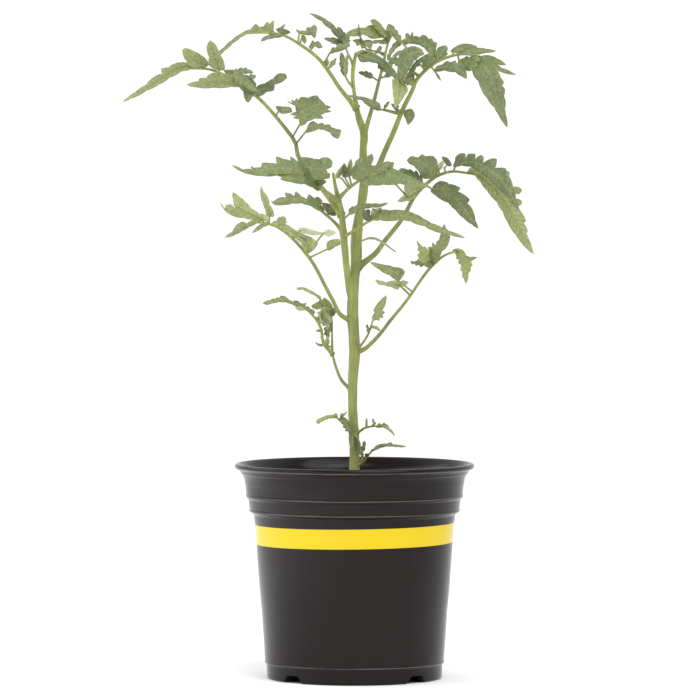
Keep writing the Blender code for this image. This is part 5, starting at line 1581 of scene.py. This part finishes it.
def foot_boxes(name, radii, heights, widths):
    """Four boxes around the foot, sized in mm, each narrower at its top than at its bottom."""
    inner, outer = [radius * MM for radius in radii]
    low, high = [height * MM for height in heights]
    wide, narrow = [width * MM for width in widths]
    bm = bmesh.new()
    for k in range(4):
        size = Matrix.Diagonal((outer - inner, wide, high - low, 1.0))
        middle = Matrix.Translation(((outer + inner) / 2, 0.0, (high + low) / 2))
        turn = Matrix.Rotation(math.radians(45 + 90 * k), 4, "Z")
        corners = bmesh.ops.create_cube(bm, size=1.0)["verts"]
        for corner in corners:
            if corner.co.z > 0:
                corner.co.y *= narrow / wide
            corner.co = turn @ middle @ size @ corner.co
    mesh = bpy.data.meshes.new(name)
    bm.to_mesh(mesh)
    bm.free()
    return linked(name, mesh)


def combine(obj, other, operation):
    """Adds a Boolean with the other object."""
    step = obj.modifiers.new(operation.title(), "BOOLEAN")
    step.operation = operation
    step.solver = "EXACT"
    step.object = other


class TOMATO_OT_pot(bpy.types.Operator):
    """Turn the pot, cut its drain recesses and give it its plastic"""

    bl_idname = "tomato.pot"
    bl_label = "Pot"

    def execute(self, context):
        settings = context.scene.tomato.pot
        mesh = bpy.data.meshes.new("pot_section")
        points = [(r, 0.0, z) for r, z in pot_profile()]
        mesh.from_pydata(points, [(i, i + 1) for i in range(len(points) - 1)], [])
        pot = linked("pot_section", mesh)
        screw = pot.modifiers.new("Turn", "SCREW")
        screw.axis = "Z"
        screw.steps = settings.turns
        screw.render_steps = settings.turns
        screw.use_merge_vertices = True
        screw.merge_threshold = 0.01 * MM
        shells = foot_boxes("recess_shells", (37.3, 45.3), (0.5, 6), (16, 13))
        slots = foot_boxes("recess_slots", (38.8, 53.3), (-4, 4), (19, 8))
        combine(pot, shells, "UNION")
        combine(pot, slots, "DIFFERENCE")
        made = settled(pot)
        for helper in (shells, slots):
            bpy.data.objects.remove(helper)
        bm = bmesh.new()
        bm.from_mesh(made)
        bmesh.ops.remove_doubles(bm, verts=bm.verts, dist=0.002 * MM)
        bmesh.ops.recalc_face_normals(bm, faces=bm.faces)
        bm.to_mesh(made)
        bm.free()
        made.shade_smooth()
        made.set_sharp_from_angle(angle=math.radians(32))
        made.materials.clear()
        made.materials.append(plastic_finish(settings))
        finished("nursery_pot", made, "pot_plastic", "pot")
        return {"FINISHED"}


class TOMATO_OT_mix(bpy.types.Operator):
    """Dress the potting mix and scatter crumbs, white grains and bark chips on its top"""

    bl_idname = "tomato.mix"
    bl_label = "Potting mix"

    def execute(self, context):
        settings = context.scene.tomato.mix
        soil = soil_finish(settings)
        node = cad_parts["potting_mix"]
        node.data.materials.clear()
        node.data.materials.append(soil)
        layers = (
            ("soil_crumbs", pebble_solid, settings.crumb_density, settings.crumb_size,
             (0.3, 0.3, 0.25), (1.0, 1.0, 0.8), 1.5, soil, 0.0),
            ("white_grains", pebble_solid, settings.grain_density, settings.grain_size,
             (0.45, 0.45, 0.4), (1.0, 0.9, 0.8), 1.5, grain_finish(), 0.5),
            ("bark_chips", chip_solid, settings.chip_density, settings.chip_size,
             (0.5, 0.5, 0.5), (1.1, 1.5, 1.2), 0.45, bark_finish(), 0.7),
        )
        for k, (name, solid, density, size, small, large, lean, finish, lift) in enumerate(layers):
            top = mix_top(lift * MM)
            tree, names = scatter_group(name, solid)
            mesh = run_group(top, tree, names, {
                "Density": density, "Seed": settings.seed + k, "Size": size, "Smallest": small,
                "Largest": large, "Lean": lean, "Material": finish})
            finished(name, mesh, "soil")
        return {"FINISHED"}


def mix_top(lift):
    """A low mound over the top of the mix, around the stem."""
    rings, sides = 14, 48
    inner, outer = 2.4 * MM, MIX_HIGH.x - 2.2 * MM
    points, faces = [], []
    for ring in range(rings + 1):
        radius = inner + (outer - inner) * ring / rings
        height = MIX_HIGH.z - 2.2 * MM * (radius / outer) ** 2 + lift
        for k in range(sides):
            angle = 2 * math.pi * k / sides
            bob = 0.7 * MM * math.sin(3 * angle + radius * 260) * (radius / outer)
            points.append((radius * math.cos(angle), radius * math.sin(angle), height + bob))
    for ring in range(rings):
        for k in range(sides):
            near, far = ring * sides, (ring + 1) * sides
            faces.append((near + k, far + k, far + (k + 1) % sides, near + (k + 1) % sides))
    mesh = bpy.data.meshes.new("mix_top")
    mesh.from_pydata(points, [], faces)
    return linked("mix_top", mesh)


class TOMATO_OT_stem(bpy.types.Operator):
    """Grow the forked stem and its hairs"""

    bl_idname = "tomato.stem"
    bl_label = "Stem"

    def execute(self, context):
        settings = context.scene.tomato.stem
        routes = []
        for route in (STEM_ROUTE, STEM_BRANCH_ROUTE):
            points = [written(point) for point, half in route]
            halves = [half * MM for point, half in route]
            routes.append(smooth_route(points, halves, 2.5 * MM))
        stem = linked("stem_tubes", swept("stem_tubes", routes, FINISHES["stem"], 20))
        fuse = stem.modifiers.new("Fuse", "REMESH")
        fuse.mode = "VOXEL"
        fuse.voxel_size = settings.voxel
        fuse.use_smooth_shade = True
        ease = stem.modifiers.new("Ease", "SMOOTH")
        ease.factor = 0.6
        ease.iterations = 5
        mesh = settled(stem)
        roughen(mesh)
        mesh.materials.clear()
        mesh.materials.append(FINISHES["stem"])
        mesh.shade_smooth()
        finished("forked_stem", mesh, "stem_green", "stem")
        grow_hairs("stem_hairs", mesh, settings, 21)
        return {"FINISHED"}


def roughen(mesh):
    """Gives the stem shallow lengthwise ribs and a few lumps, along its own normals."""
    points = mesh_arrays(mesh)[0]
    normals = np.empty(len(mesh.vertices) * 3, np.float32)
    mesh.vertices.foreach_get("normal", normals)
    normals = normals.reshape(-1, 3)
    turn = np.arctan2(normals[:, 1], normals[:, 0])
    height = points[:, 2] / MM
    ribs = 0.09 * np.sin(5 * turn + 0.05 * height) + 0.05 * np.sin(9 * turn - 0.11 * height)
    lumps = 0.10 * np.sin(0.42 * height) * np.sin(0.23 * height + 2 * turn)
    moved = points + normals * ((ribs + lumps) * MM)[:, None]
    mesh.vertices.foreach_set("co", moved.astype(np.float32).ravel())
    mesh.update()


def grow_hairs(name, mesh, settings, seed):
    """Scatters fine hairs over a mesh, most of them slanting a little, and finishes them."""
    tree, names = TREES["hairs"]
    mesh = run_group(linked(name + "_base", mesh.copy()), tree, names, {
        "Density": settings.hair_density, "Seed": seed, "Size": settings.hair_length,
        "Smallest": (0.8, 0.8, 0.35), "Largest": (1.2, 1.2, 1.0), "Lean": 0.55,
        "Material": FINISHES["hair"]})
    finished(name, mesh, "stem_green")


class TOMATO_OT_leaves(bpy.types.Operator):
    """Grow every compound leaf with its toothed blades, and the hairs on the petioles"""

    bl_idname = "tomato.leaves"
    bl_label = "Leaves"

    def execute(self, context):
        settings = context.scene.tomato
        stalks = []
        for seed, (name, plan) in enumerate(LEAVES.items(), start=100):
            stalks.append(leaf_piece(name, plan, settings.leaf, settings.stem, FINISHES, seed))
        grow_hairs("petiole_hairs", joined(stalks), settings.stem, 33)
        return {"FINISHED"}


def floor_finish():
    """A pale matt floor with the faintest mottling."""
    made = Finish("floor", Metallic=0.0, Specular_IOR_Level=0.2, Roughness=0.9)
    patch = made.noise(made.place(), 3.0, 2.0)
    made.feed("Base Color", made.mix(patch, (0.93, 0.93, 0.93), (0.96, 0.96, 0.96)))
    return made.material


def area_light(name, place, target, size, power):
    """A white rectangular light that faces the target."""
    light = bpy.data.lights.new(name, "AREA")
    light.shape = "RECTANGLE"
    light.size, light.size_y = size
    light.energy = power
    lamp = linked(name, light)
    lamp.location = place
    lamp.rotation_euler = (Vector(target) - Vector(place)).to_track_quat("-Z", "Y").to_euler()


def lay_floor(settings):
    """The pale round floor."""
    bm = bmesh.new()
    bmesh.ops.create_circle(bm, cap_ends=True, segments=96, radius=settings.floor_radius)
    mesh = bpy.data.meshes.new("floor")
    bm.to_mesh(mesh)
    bm.free()
    mesh.materials.append(floor_finish())
    floor = linked("floor", mesh)


def light_room(scene, settings):
    """A white room, brighter behind the plant, with a soft key light and two boxes."""
    world = bpy.data.worlds.new("studio")
    scene.world = world
    world.use_nodes = True
    studio = Graph(world.node_tree)
    sky = world.node_tree.nodes["Background"]
    heading = studio.add("ShaderNodeTexCoord", output="Generated")
    back = studio.add("ShaderNodeSeparateXYZ", inputs={"Vector": heading}, output="Y")
    glow = back.ramp(-0.3, 0.25) * (settings.wall - settings.room) + settings.room
    world.node_tree.links.new(glow.socket, sky.inputs["Strength"])
    sky.inputs["Color"].default_value = (1.0, 1.0, 1.0, 1.0)
    scene.view_settings.view_transform = "Standard"

    key = bpy.data.lights.new("key", "SUN")
    key.energy = settings.key
    key.angle = math.radians(50)
    lamp = linked("key", key)
    lamp.rotation_euler = Vector((0.45, -0.75, 1.0)).to_track_quat("Z", "Y").to_euler()
    area_light("left_box", (-0.55, -0.22, 0.33), (-0.55, -0.22, 0.0), (0.5, 1.0), 3.6)
    area_light("top_box", (0.1, -0.9, 1.1), (0.0, 0.0, 0.1), (0.9, 0.3), 2.5)


def set_camera(scene, settings):
    """The camera at the eye, aimed at the plant's middle."""
    aim = Vector((EYE.x, 0.0, settings.aim_height))
    camera = linked("camera", bpy.data.cameras.new("camera"))
    camera.location = EYE
    camera.rotation_euler = (aim - camera.location).to_track_quat("-Z", "Y").to_euler()
    camera.data.lens = settings.lens
    camera.data.sensor_width = 36.0
    camera.data.clip_end = 60.0
    scene.camera = camera


class TOMATO_OT_stage(bpy.types.Operator):
    """Set up the pale floor, the soft studio light and the camera"""

    bl_idname = "tomato.stage"
    bl_label = "Stage"

    def execute(self, context):
        settings = context.scene.tomato.stage
        lay_floor(settings)
        light_room(context.scene, settings)
        set_camera(context.scene, settings)
        return {"FINISHED"}


class TOMATO_PT_plant(bpy.types.Panel):
    """The plant's operators and settings"""

    bl_idname = "TOMATO_PT_plant"
    bl_label = "Tomato plant"
    bl_space_type = "VIEW_3D"
    bl_region_type = "UI"
    bl_category = "Tomato"

    def draw(self, context):
        settings = context.scene.tomato
        for operator, group in STEPS:
            self.layout.operator(operator)
            for name in getattr(settings, group).bl_rna.properties.keys():
                if name not in ("rna_type", "name"):
                    self.layout.prop(getattr(settings, group), name)


STEPS = (("tomato.pot", "pot"), ("tomato.mix", "mix"), ("tomato.stem", "stem"),
         ("tomato.leaves", "leaf"), ("tomato.stage", "stage"))
CLASSES = (PotSettings, MixSettings, StemSettings, LeafSettings, StageSettings, TomatoSettings,
           TOMATO_OT_pot, TOMATO_OT_mix, TOMATO_OT_stem, TOMATO_OT_leaves, TOMATO_OT_stage,
           TOMATO_PT_plant)
TREES = {}
FINISHES = {}


def register():
    """Adds the settings, operators and panel."""
    for item in CLASSES:
        bpy.utils.register_class(item)
    bpy.types.Scene.tomato = PointerProperty(type=TomatoSettings)


def unregister():
    """Takes them away again."""
    del bpy.types.Scene.tomato
    for item in reversed(CLASSES):
        bpy.utils.unregister_class(item)


def main():
    """Builds the plant and its stage."""
    register()
    settings = bpy.context.scene.tomato
    FINISHES.update(stem=stem_finish(settings.stem), leaf=leaf_finish(settings.leaf), hair=hair_finish())
    TREES.update(sweep=sweep_group(), hairs=scatter_group("hairs", hair_solid))
    bpy.ops.tomato.pot()
    bpy.ops.tomato.mix()
    bpy.ops.tomato.stem()
    bpy.ops.tomato.leaves()
    bpy.ops.tomato.stage()


if __name__ == "__main__":
    main()
